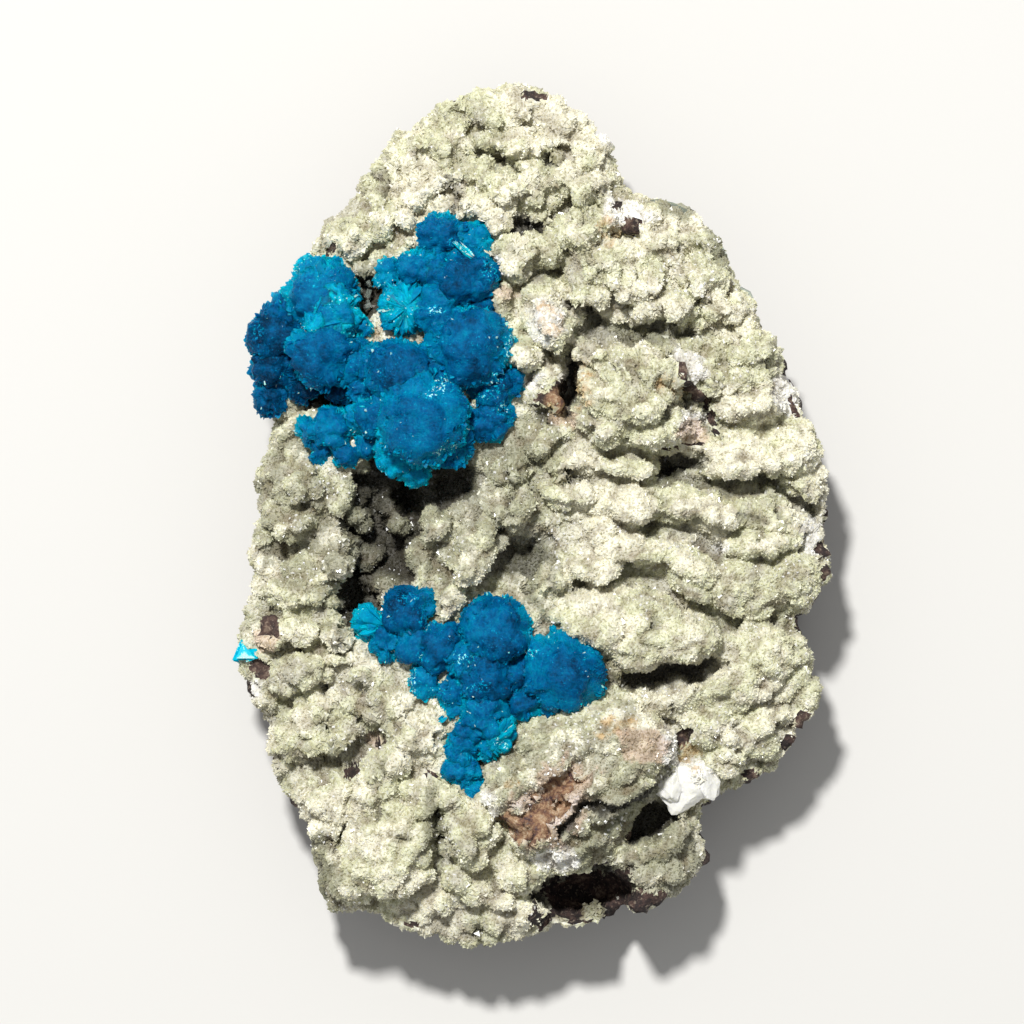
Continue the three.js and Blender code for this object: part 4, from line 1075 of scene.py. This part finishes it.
bands = druseSettings["bands"]
allOver = bands[0], bands[-1]
growths = [(basaltLump, "fine", *ends) for ends in zip(bands, bands[1:])]
growths += [
    (crustedBlock, "fine", *allOver), (basaltLump, "coarse", *allOver), (crustedBlock, "coarse", *allOver),
]
for number, (soil, kind, low, high) in enumerate(growths):
    growCrystals(f"druseCrystals{number + 1}", soil, kind, druseSettings["seed"] + number, low, high)
growCrystals("lumpGlassyCrystals", basaltLump, "glassy", druseSettings["glassySeed"], *allOver)
growCrystals("blockGlassyCrystals", crustedBlock, "glassy", druseSettings["glassySeed"] + 1, *allOver)


# Cavansite rosettes

# Rosettes: x, y, z, radius, hue (0 deep blue, 1 turquoise)
upperRosettes = [
    # left group, which overhangs the edge of the lump; its lower-left balls have the lowest hues, painted
    # shade
    (-21.0, 21.7, 19.1, 3.8, 0.35), (-25.3, 18.2, 18.6, 2.9, 0.1), (-24.9, 20.6, 18.2, 1.6, 0.2),
    (-25.7, 15.0, 17.8, 2.5, 0.05), (-26.0, 12.1, 17.0, 1.9, 0.05), (-20.8, 16.2, 21.0, 3.5, 0.25),
    (-18.0, 15.4, 20.4, 2.5, 0.35), (-19.4, 19.7, 21.0, 2.6, 0.45), (-16.8, 18.9, 20.4, 0.9, 0.55),
    (-19.2, 21.1, 21.4, 1.9, 0.75), (-21.4, 18.5, 22.0, 1.6, 0.75), (-18.9, 18.9, 21.8, 1.6, 0.72),
    (-21.7, 23.9, 20.0, 1.9, 0.5), (-16.4, 12.7, 20.6, 1.9, 0.25),
    # two fillers in the shade under the left group, painted in the darkest blue as shade
    (-22.6, 13.2, 18.0, 1.8, 0.0), (-18.9, 12.9, 18.4, 1.8, 0.0),
    # top group
    (-8.9, 27.8, 21.4, 2.4, 0.3), (-5.9, 27.3, 21.2, 1.9, 0.5), (-6.5, 23.8, 22.2, 3.2, 0.2),
    (-11.2, 24.7, 21.4, 2.3, 0.35), (-14.4, 24.3, 21.0, 1.5, 0.5), (-12.9, 20.7, 21.3, 2.5, 0.74),
    (-9.2, 20.6, 21.8, 2.8, 0.4), (-9.3, 24.4, 21.4, 2.4, 0.25), (-12.4, 19.0, 21.2, 1.6, 0.5),
    # right group
    (-6.1, 16.6, 23.2, 4.2, 0.26), (-9.7, 14.3, 22.4, 2.8, 0.22), (-3.3, 16.4, 21.8, 2.0, 0.6),
    (-3.6, 13.0, 21.6, 2.5, 0.2), (-4.3, 9.6, 21.0, 2.1, 0.25), (-5.2, 20.8, 21.6, 1.7, 0.15),
    (-2.7, 10.6, 20.8, 1.3, 0.4),
    # bottom group
    (-10.8, 9.7, 23.6, 4.7, 0.33), (-13.0, 14.0, 23.0, 3.5, 0.24), (-8.4, 7.2, 21.6, 2.4, 0.2),
    (-13.4, 6.2, 21.2, 2.2, 0.45), (-11.6, 4.6, 20.4, 1.5, 0.55), (-14.8, 10.4, 21.6, 2.6, 0.3),
    (-15.6, 14.8, 20.8, 2.4, 0.3),
    # small group at the lower left
    (-19.8, 8.8, 19.4, 2.4, 0.4), (-22.0, 8.4, 18.4, 1.7, 0.35), (-18.8, 6.4, 19.0, 1.6, 0.35),
    (-17.0, 9.6, 20.4, 1.9, 0.55), (-20.8, 6.6, 18.2, 1.4, 0.3), (-16.6, 7.4, 19.4, 1.4, 0.4),
]
lowerRosettes = [
    (-12.5, -9.8, 20.2, 2.4, 0.2), (-16.2, -11.0, 18.8, 1.9, 0.6), (-14.4, -12.5, 19.4, 1.9, 0.4),
    (-3.7, -11.8, 21.0, 3.5, 0.25), (-8.8, -13.3, 20.6, 2.6, 0.2), (-10.7, -16.2, 19.6, 2.0, 0.5),
    (3.0, -15.5, 20.6, 4.2, 0.3), (-4.6, -16.0, 21.0, 2.9, 0.15), (-4.7, -19.8, 20.6, 2.5, 0.35),
    (-3.1, -21.7, 20.2, 2.0, 0.66), (-6.9, -22.8, 19.8, 2.0, 0.4), (-6.9, -25.5, 19.2, 1.8, 0.44),
    (-7.0, -14.3, 21.3, 2.1, 0.3), (-11.2, -12.9, 20.0, 2.3, 0.3), (-1.4, -15.6, 20.2, 2.1, 0.2),
    (-6.0, -21.4, 20.0, 1.9, 0.4), (-10.6, -9.2, 19.8, 1.5, 0.35), (-2.0, -10.7, 20.6, 1.5, 0.4),
    (-8.0, -17.9, 20.0, 1.6, 0.3), (-7.7, -19.4, 19.8, 1.1, 0.4), (-0.5, -18.5, 20.4, 1.6, 0.3),
    (1.8, -18.7, 20.4, 1.5, 0.3), (-4.2, -23.0, 19.9, 1.6, 0.6), (-5.9, -27.4, 18.8, 1.4, 0.5),
]
# Places with more painted highlights, small faces that catch the light, laid out as the spots on the lump
sparkSpots = [
    (-9.0, 12.7, 1.5, 0.9, 30), (-3.8, 13.0, 1.5, 1.3, 0), (-4.2, 24.2, 0.7, 1.6, 20),
    (-5.6, 11.7, 1.0, 0.6, 0), (-23.2, 18.7, 0.5, 0.4, 0), (-9.0, 20.4, 1.4, 0.5, 10),
    (-27.4, 18.6, 0.6, 1.0, 0), (-7.0, 26.5, 0.5, 1.8, 50), (-2.2, 16.5, 0.5, 2.2, -10),
    (-2.9, 10.8, 0.8, 0.8, 0), (-8.6, 6.6, 1.4, 0.5, 20), (-12.4, -8.2, 1.2, 0.5, 0),
    (-10.4, -10.6, 0.7, 0.9, 0), (-6.9, -14.2, 1.4, 0.7, 0), (-5.0, -17.0, 1.6, 0.6, 20),
    (-11.0, -14.0, 0.5, 0.5, 0), (5.9, -12.0, 0.8, 1.6, -20), (0.0, -13.6, 0.7, 0.5, 0),
    (-3.2, -22.6, 1.0, 0.7, 30), (-11.8, -16.4, 0.4, 1.2, 0),
]
bladeSettings = {
    "spacing": 0.46,  # between the tips
    "width": 0.5, "thickness": 0.2, "length": 1.3,
    "flankOut": 0.2,  # the blades stand out of the skin that their sides make by this much down the flanks
    "bundle": 1.1, "bundleStep": 0.2,  # blades end flush in bundles this wide, which differ by this much
    "bundleTurn": 0.6,  # how far a blade turns towards the line of its bundle
    "lobeSize": 3.0, "lobe": 0.6,  # the bundles stand in rounded lobes,
    "knobSize": 1.15, "knob": 0.25,  # these in knobs: how wide, and how high,
    "blocks": [(2.3, 0.3), (1.15, 0.42)],  # and these in blocks that end at different heights,
    "blockOnTop": 0.3,  # which on top of the ball differ only by this share
    "streaks": 9, "streak": 0.22,  # ribs that run down the flanks: number to a half turn, height
    "furthest": 0.45,  # what stands out more than this is held back, so that the ball stays round
    "uneven": 0.06,
    "litFlanks": 0.34,  # a rosette turns paler down its flanks by this much, painted light where thin edges let it through,
    "deeper": 0.2, "openHue": 0.7,  # and one that broke open, with this hue or a higher one, turns deeper
    "topShare": 0.12,  # few single blades stand out where a rosette faces up
    "inCrust": 0.4, "inOther": 0.6,  # a blade shows unless its tip is this deep in the crust or in a rosette
    "glint": 0.05,  # share of the blades with a bright face, a painted highlight in their colour
    "palest": 0.84,  # of the hues of any blade without one
    "fineFrom": 1.7,  # rosettes with a larger radius have the finer skin
}


def bladeShape():
    # A flat blade from its root at 0 to its chisel end at 1, along Z
    points = [(0, 0, 0), (-0.5, -0.5, 0.72), (0.5, -0.5, 0.68), (0.5, 0.5, 0.72), (-0.5, 0.5, 0.76)]
    points += [(-0.15, 0, 1), (0.2, 0, 0.94)]
    faces = [(0, 2, 1), (0, 3, 2), (0, 4, 3), (0, 1, 4), (1, 2, 6, 5), (3, 4, 5, 6), (2, 3, 6), (4, 1, 5)]
    return shapeObject("cavansiteBladeShape", points, faces)


def evenDirections(count):
    # Directions spread evenly over a ball, along a spiral
    step = np.arange(count) + 0.5
    height = 1 - 2 * step / count
    angle = step * math.pi * (3 - math.sqrt(5))
    flat = np.sqrt(1 - height ** 2)
    return np.stack([flat * np.cos(angle), flat * np.sin(angle), height], axis=1)


def scattered(rng, radius, spacing):
    # Directions about one spacing apart on a ball of this radius, not quite even
    count = max(6, int(1.1 * 4 * math.pi * (radius / spacing) ** 2))
    axis = evenDirections(count) + rng.normal(0, 0.3 * spacing / radius, (count, 3))
    return axis / np.linalg.norm(axis, axis=1, keepdims=True)


def crustLevel(x, y):
    # Height of the crust under a place, and far below the floor beside the lump
    angle = np.arctan2(y, x)
    share = np.hypot(x, y) / outlineRadius(lumpOutline, (0, 0), angle)
    level = lumpTop(x, y, np.minimum(share, 1))[0]
    return np.where(share > 1, -1e3, level)


def rosetteReach(centre, axis, radius):
    # How far a rosette reaches along each axis, and how deep its blue is there, paler at the edges of its
    # lobes as painted light
    s = bladeSettings
    points = strayed(centre + axis * radius, 1.2, 0.35, (2.3, 6.9, 13.1))
    lobes = knobShape(cellDistance(points, s["lobeSize"])) - 0.55
    knobs = knobShape(cellDistance(points, s["knobSize"])) - 0.5
    level = np.maximum(np.linalg.norm(axis[:, :2], axis=1), 1e-6)[:, None]
    flank = smoothStep(level[:, 0], 0.35, 0.85)
    block = sum(height * nearestCell(points, size)[1] for size, height in s["blocks"])
    block *= s["blockOnTop"] + (1 - s["blockOnTop"]) * flank
    around = np.concatenate([axis[:, :2] / level, axis[:, 2:] * 0.25], axis=1) * s["streaks"] / math.pi
    ribs = softNoise(around + centre, 1.0) * smoothStep(level[:, 0], 0.1, 0.5)
    out = s["lobe"] * lobes + s["knob"] * knobs + s["streak"] * ribs + block
    out = np.minimum(out, s["furthest"] + 0.3 * (out - s["furthest"])) + s["uneven"] * softNoise(points, 0.4)
    return radius + out, 0.16 * lobes + 0.08 * knobs - 0.07 * ribs + 0.1 * block


def toneAt(hue, axis, deep, points):
    # A rosette is deep blue in the middle and turns to turquoise down its flanks and between its lobes,
    # painted light where thin edges let it through; one that broke open is brightest in the middle
    s = bladeSettings
    flank = np.clip(1 - axis[:, 2], 0, 1.1)
    gain = s["litFlanks"] if hue < s["openHue"] else -s["deeper"]
    return np.minimum(hue + gain * flank ** 1.5 - deep + 0.1 * softNoise(points, 2.2), s["palest"])


def rosetteBlades(rng, rosettes, number):
    # Feet, directions, sizes, grain, hues and gloss of the blades of one rosette that show
    s = bladeSettings
    *centre, radius, hue = rosettes[number]
    axis = scattered(rng, radius, s["spacing"])
    count = len(axis)
    bundleAxis = scattered(rng, radius, s["bundle"])
    bundle = np.argmax(axis @ bundleAxis.T, axis=1)
    bundleReach = rng.uniform(-1, 0.6, len(bundleAxis)) * s["bundleStep"]
    reach, deep = rosetteReach(centre, axis, radius)
    reach += s["flankOut"] * (1 - np.abs(axis[:, 2])) + bundleReach[bundle]
    tip = centre + axis * reach[:, None]
    shown = tip[:, 2] > crustLevel(tip[:, 0], tip[:, 1]) - s["inCrust"]
    shown &= rng.random(count) < s["topShare"] + 1.6 * (1 - np.abs(axis[:, 2]))
    for other, (*otherCentre, otherRadius, _) in enumerate(rosettes):
        if other != number:
            shown &= np.linalg.norm(tip - otherCentre, axis=1) > otherRadius - s["inOther"]
    line = axis + s["bundleTurn"] * (bundleAxis[bundle] - axis)
    line /= np.linalg.norm(line, axis=1, keepdims=True)
    length = np.minimum(s["length"] * rng.uniform(0.9, 1.1, count), 0.8 * radius)
    # a few blades get a painted highlight: the palest hue
    bright = rng.random(count) < s["glint"] * (1 + 3 * (axis[:, 2] > 0.7))
    wide = s["width"] * rng.uniform(0.75, 1.4, count) * np.where(bright, 0.55, 1)
    thick = s["thickness"] * rng.uniform(0.8, 1.3, count)
    hues = np.where(bright, 1, toneAt(hue, axis, deep, tip) + rng.normal(0, 0.03, count))
    feet, sizes = tip - line * length[:, None], np.stack([wide, thick, length], axis=1)
    grain = (centre + axis * radius) * mm
    return [rows[shown] for rows in (feet, line, sizes, grain, hues, bright * 1.0)]


def fanBlades(rng, x, y, z, toX, toY, toZ, spread, count, width, hue, bright):
    # The same for a broken rosette, which shows its blades from the side, spread flat like a hand
    turn = np.linspace(-spread, spread, count)
    dx, dy, dz = toX - x, toY - y, toZ - z
    axis = np.stack([dx * np.cos(turn) - dy * np.sin(turn), dx * np.sin(turn) + dy * np.cos(turn),
                     dz + rng.normal(0, 0.25, count)], axis=1)
    reach = np.linalg.norm(axis, axis=1)
    length = reach * (1 - 0.2 * (turn / spread) ** 2) * rng.uniform(0.9, 1.04, count)
    wide = width * rng.uniform(0.7, 1.4, count)
    feet = np.array([[x, y, z]]) + rng.normal(0, 0.15, (count, 3))
    sizes = np.stack([wide, np.minimum(0.6 * wide, 0.4), length], axis=1)
    shine = rng.random(count) < bright
    hues = np.where(shine, 1, hue + rng.normal(0, 0.09, count))
    return feet, axis / reach[:, None], sizes, (feet + axis) * mm, hues, shine * 1.0


def bladeTree():
    tree, given, result = newTree("growBlades", {
        "Blade": "NodeSocketObject", "Material": "NodeSocketMaterial",
    })
    direction, size = [
        addNode(tree, "GeometryNodeInputNamedAttribute", {"data_type": "FLOAT_VECTOR", "Name": key})
        for key in ("direction", "size")
    ]
    dots = addNode(tree, "GeometryNodeMeshToPoints", links={"Mesh": given.outputs["Geometry"]})
    along = addNode(tree, "FunctionNodeAlignRotationToVector", {"axis": "Z"}, {
        "Vector": direction.outputs["Attribute"],
    })
    blades = copiesOn(tree, given, "Blade", dots.outputs["Points"], along.outputs["Rotation"],
                      0, 4, size.outputs["Attribute"])
    tree.links.new(blades, result.inputs["Geometry"])
    return tree


def ballGrid(subdivisions):
    ball = bmesh.new()
    bmesh.ops.create_icosphere(ball, subdivisions=subdivisions, radius=1)
    points = np.array([list(vertex.co) for vertex in ball.verts])
    faces = np.array([[vertex.index for vertex in face.verts] for face in ball.faces])
    ball.free()
    # Drawn up, so that the side that shows has the smaller faces
    height = points[:, 2] + 0.35 * (1 - points[:, 2] ** 2)
    points[:, :2] *= np.sqrt((1 - height ** 2).clip(0) / (1 - points[:, 2] ** 2).clip(1e-9))[:, None]
    points[:, 2] = height
    return points, faces


def skinsOf(name, rosettes):
    # Between the ends of the blades shows what their sides make together: lobed balls that run into
    # one another
    points, faces, hues, grain, total = [], [], [], [], 0
    for x, y, z, radius, hue in rosettes:
        axis, corners = fineBall if radius > bladeSettings["fineFrom"] else coarseBall
        centre = np.array([x, y, z])
        reach, deep = rosetteReach(centre, axis, radius)
        ball = centre + axis * reach[:, None]
        points.append(ball)
        faces.append(corners + total)
        hues.append(toneAt(hue, axis, deep, ball) + 0.05 * softNoise(ball, 0.7))
        grain.append((centre + axis * radius) * mm)
        total += len(ball)
    points = np.concatenate(points)
    return meshPiece(name, points, np.concatenate(faces), [cavansite], values={
        "hue": np.concatenate(hues), "gloss": np.zeros(total), "grain": np.concatenate(grain),
        "spark": spotMask(points[:, 0], points[:, 1], sparkSpots),
    })


def cluster(name, rosettes, fans, seed, node):
    rng = np.random.default_rng(seed)
    parts = [rosetteBlades(rng, rosettes, number) for number in range(len(rosettes))]
    parts += [fanBlades(rng, *fan) for fan in fans]
    feet, axes, sizes, grain, hues, gloss = [np.concatenate(rows) for rows in zip(*parts)]
    end = feet + axes * sizes[:, 2:]
    mesh = bpy.data.meshes.new(name)
    mesh.from_pydata(((feet + planShift) * mm).tolist(), [], [])
    storeValues(mesh, {
        "direction": axes, "size": sizes * mm, "grain": grain, "hue": hues, "gloss": gloss,
        "spark": spotMask(end[:, 0], end[:, 1], sparkSpots),
    })
    dots = bpy.data.objects.new(name, mesh)
    blades = grown(name + "Blades", dots, growBlades, {"Blade": bladeForm, "Material": cavansite})
    skins = skinsOf(name + "Skins", rosettes)
    for piece in (blades, skins):
        finishPiece(piece, "cavansite", node)
        print("rosettes made:", piece.name, len(piece.data.polygons), "faces")


coarseBall, fineBall = ballGrid(3), ballGrid(4)
growBlades, bladeForm = bladeTree(), bladeShape()
# Fans: foot x, y, z, end x, y, z, half their spread, number of blades, width, hue, share of bright ones,
# painted highlights
upperFans = [
    (-12.6, 20.6, 23.5, -15.4, 20.4, 22.4, 0.5, 11, 0.6, 0.76, 0.0),
    (-12.6, 20.7, 23.5, -14.6, 22.8, 22.6, 0.5, 10, 0.6, 0.72, 0.0),
    (-12.5, 20.4, 23.5, -12.9, 17.9, 22.6, 0.7, 12, 0.6, 0.68, 0.0),
    (-12.3, 20.8, 23.5, -10.9, 22.9, 22.9, 0.5, 9, 0.6, 0.62, 0.0),
    (-20.8, 20.2, 21.4, -21.5, 25.6, 21.2, 0.42, 12, 1.3, 0.45, 0.0),
    (-22.0, 18.6, 22.6, -18.0, 21.6, 22.4, 0.55, 12, 1.2, 0.58, 0.0),
    (-7.8, 27.3, 23.7, -5.7, 25.5, 24.6, 0.12, 12, 0.25, 0.84, 0.35),
    (-3.0, 18.0, 22.6, -2.2, 14.6, 23.0, 0.15, 8, 0.4, 0.88, 0.4),
    (-3.6, 17.8, 23.0, -2.6, 15.4, 23.6, 0.4, 9, 0.4, 0.85, 0.3),
]
lowerFans = [
    (-14.6, -11.2, 20.4, -17.8, -10.4, 20.2, 0.5, 7, 1.0, 0.6, 0.0),
    (-3.8, -22.8, 21.4, -2.1, -20.2, 22.4, 0.4, 11, 0.4, 0.7, 0.1),
    (-4.6, -22.4, 21.2, -2.9, -23.6, 21.6, 0.5, 9, 0.4, 0.66, 0.0),
    (-9.8, -20.9, 20.2, -8.2, -19.9, 20.8, 0.04, 3, 0.4, 0.6, 0.0),
    (-5.9, -27.0, 19.0, -5.5, -28.4, 19.0, 0.3, 6, 0.5, 0.7, 0.0),
]
cluster("upperCavansite", upperRosettes, upperFans, 21, "upper_cavansite")
cluster("lowerCavansite", lowerRosettes, lowerFans, 22, "lower_cavansite")


# Single crystals

def wedgeCrystal(outline, bottom, top, slope, foot=1.0):
    # An upright crystal over an outline, its top tilted along the given slope, its foot this share as wide
    middle = np.mean(outline, axis=0)
    low = [(*(middle + foot * (np.array(corner) - middle)), bottom) for corner in outline]
    firstX, firstY = outline[0]
    high = [(x, y, top + slope[0] * (x - firstX) + slope[1] * (y - firstY)) for x, y in outline]
    count = len(outline)
    faces = [tuple(reversed(range(count))), tuple(range(count, 2 * count))]
    faces += [(k, (k + 1) % count, count + (k + 1) % count, count + k) for k in range(count)]
    return low + high, faces


def crystalPiece(name, points, faces, material, slot, node, hue=None):
    # Flat-faced crystals; hue: of the blue ones
    values = {} if hue is None else {"hue": [hue] * len(points)}
    piece = meshPiece(name, np.array(points), faces, [material], None, values, False)
    finishPiece(piece, slot, node)
    print("single crystals made:", name, len(piece.data.polygons), "faces")


def joined(forms):
    # Points and faces of several forms as one
    points, faces = [], []
    for formPoints, formFaces in forms:
        faces += [tuple(len(points) + corner for corner in face) for face in formFaces]
        points += formPoints
    return points, faces


# Upright crystals: outline, bottom, top, slope of the top, width of the foot
edgeForms = [
    ([(-30.0, -14.5), (-27.2, -14.5), (-28.2, -12.9), (-29.1, -12.4)], 12.0, 15.4, (-0.1, 0.15), 0.4),
    ([(-29.6, -14.3), (-27.6, -14.3), (-28.9, -12.8)], 12.5, 16.4, (0.1, -0.3), 0.5),
    ([(-29.9, -14.6), (-28.7, -14.9), (-28.4, -13.9), (-29.3, -13.3)], 12.6, 15.0, (-0.4, 0.1), 0.5),
    ([(-28.6, -14.7), (-27.1, -14.2), (-27.5, -13.3), (-28.4, -13.4)], 12.4, 15.9, (0.5, 0.1), 0.4),
]
# Clear plates at the rim, laid out the same, with feet as wide as their tops
plateForms = [
    ([(11.2, 31.5), (12.0, 29.5), (15.0, 28.5), (16.4, 29.6), (15.6, 30.7), (14.3, 31.4), (12.6, 31.8)],
     12.2, 13.6, (0.0, -0.1)),
    ([(17.6, 28.9), (17.4, 26.5), (18.6, 23.8), (19.8, 24.4), (19.7, 26.1), (18.8, 27.8)],
     12.0, 13.4, (-0.1, 0.0)),
    ([(7.3, 36.6), (6.8, 34.5), (8.3, 31.6), (9.9, 32.2), (8.8, 33.7), (8.2, 35.4)],
     12.0, 13.8, (-0.1, 0.05)),
    ([(21.0, 23.0), (20.8, 21.0), (22.2, 20.0), (22.7, 21.0), (22.0, 22.5)], 12.0, 13.2, (0.0, 0.1)),
]
# Broken white zeolite at the block's right end
whiteSettings = {
    # middle and half sizes of each lump
    "lumps": [
        ((15.3, -26.9, 16.9), (2.6, 2.5, 2.3)), ((17.2, -26.6, 16.3), (1.8, 2.2, 2.3)),
        ((13.8, -26.6, 17.2), (1.6, 2.4, 2.2)),
    ],
    "cuts": 18,  # broken faces of a lump
    "seed": 9,
}
# Glassy crystals in the hollow between the rosettes
hollowSettings = {
    "middle": (-16.6, 23.2, 16.6), "reach": (1.9, 2.6, 0.7),
    "count": 60, "size": (0.3, 0.8), "lean": 60, "seed": 5,
}


def leaningCrystals(settings):
    # Blocky crystals scattered about a place, each leaning its own way
    rng = np.random.default_rng(settings["seed"])
    shape = np.array([list(vertex.co) for vertex in glassyShape.data.vertices])
    faces = [tuple(polygon.vertices) for polygon in glassyShape.data.polygons]
    for place in rng.normal(settings["middle"], settings["reach"], (settings["count"], 3)):
        turned = Matrix.Rotation(rng.uniform(0, 2 * math.pi), 3, "Z")
        turned = turned @ Matrix.Rotation(math.radians(rng.uniform(0, settings["lean"])), 3, "X")
        size = rng.uniform(*settings["size"]) * rng.uniform(0.6, 1.3, 3)
        yield ((shape * size) @ np.array(turned).T + place).tolist(), faces


def brokenLumps(settings):
    # Balls cut down by broken faces
    rng = np.random.default_rng(settings["seed"])
    count = settings["cuts"]
    axis, corners = fineBall
    for middle, halfSizes in settings["lumps"]:
        cuts = evenDirections(count) + rng.normal(0, 0.25, (count, 3))
        cuts /= np.linalg.norm(cuts, axis=1, keepdims=True)
        reach = (rng.uniform(0.75, 1, count) / np.maximum(axis @ cuts.T, 0.05)).min(axis=1)
        ball = np.array(middle) + axis * reach[:, None] * np.array(halfSizes)
        ball += axis * (0.1 * softNoise(ball, 0.7) + 0.07 * softNoise(ball, 0.25))[:, None]
        yield ball.tolist(), corners.tolist()


edgeCrystals, plates = [joined(wedgeCrystal(*form) for form in forms) for forms in (edgeForms, plateForms)]
crystalPiece("edgeCavansite", *edgeCrystals, cavansite, "cavansite", "edge_cavansite", 0.9)
crystalPiece("clearPlates", *plates, clearCrystal, "druse", "matrix")
crystalPiece("whiteZeolite", *joined(brokenLumps(whiteSettings)), glassyCrystal, "druse", "matrix")
crystalPiece("hollowCrystals", *joined(leaningCrystals(hollowSettings)), clearCrystal, "druse", "matrix")


# Floor, light and camera

studio = {
    "floorSize": 1.6, "floorColour": "#d9d7d2",
    "lightFrom": (-0.13, 0.35, 0.85), "lightSize": 0.08, "lightPower": 9.7,
    "skyColour": "#f3f5f8", "skyStrength": 0.4,
    "cameraHeight": 0.9, "filmWidth": 36,
    "viewWidth": 0.1024, "viewMiddle": (-1.95, 0.35), "viewLevel": 17.0,  # width in metres, place in the plan
}


def makeFloor():
    half = studio["floorSize"] / 2
    mesh = bpy.data.meshes.new("floor")
    corners = [(-half, -half, 0), (half, -half, 0), (half, half, 0), (-half, half, 0)]
    mesh.from_pydata(corners, [], [(0, 1, 2, 3)])
    surface = {"Base Color": paint(studio["floorColour"]), "Roughness": 0.9}
    mesh.materials.append(newMaterial("paperMatt", surface)[0])
    placed("floor", mesh)


def makeLight():
    lamp = bpy.data.lights.new("keyLight", "AREA")
    lamp.shape = "DISK"
    lamp.size = studio["lightSize"]
    lamp.energy = studio["lightPower"]
    light = placed("keyLight", lamp)
    light.location = studio["lightFrom"]
    light.rotation_euler = Vector(studio["lightFrom"]).to_track_quat("Z", "Y").to_euler()
    world = bpy.data.worlds.new("softSky")
    world.use_nodes = True
    sky = world.node_tree.nodes["Background"].inputs
    sky["Color"].default_value = paint(studio["skyColour"])
    sky["Strength"].default_value = studio["skyStrength"]
    scene.world = world


def makeCamera():
    lens = bpy.data.cameras.new("topCamera")
    lens.sensor_width = studio["filmWidth"]
    lens.lens = studio["filmWidth"] * studio["cameraHeight"] / studio["viewWidth"]
    lens.clip_end = 10
    camera = placed("topCamera", lens)
    middle = Vector((*studio["viewMiddle"], studio["viewLevel"])) + Vector(planShift)
    camera.location = middle * mm + Vector((0, 0, studio["cameraHeight"]))
    scene.camera = camera


makeFloor()
makeLight()
makeCamera()
scene.view_settings.view_transform = "Standard"
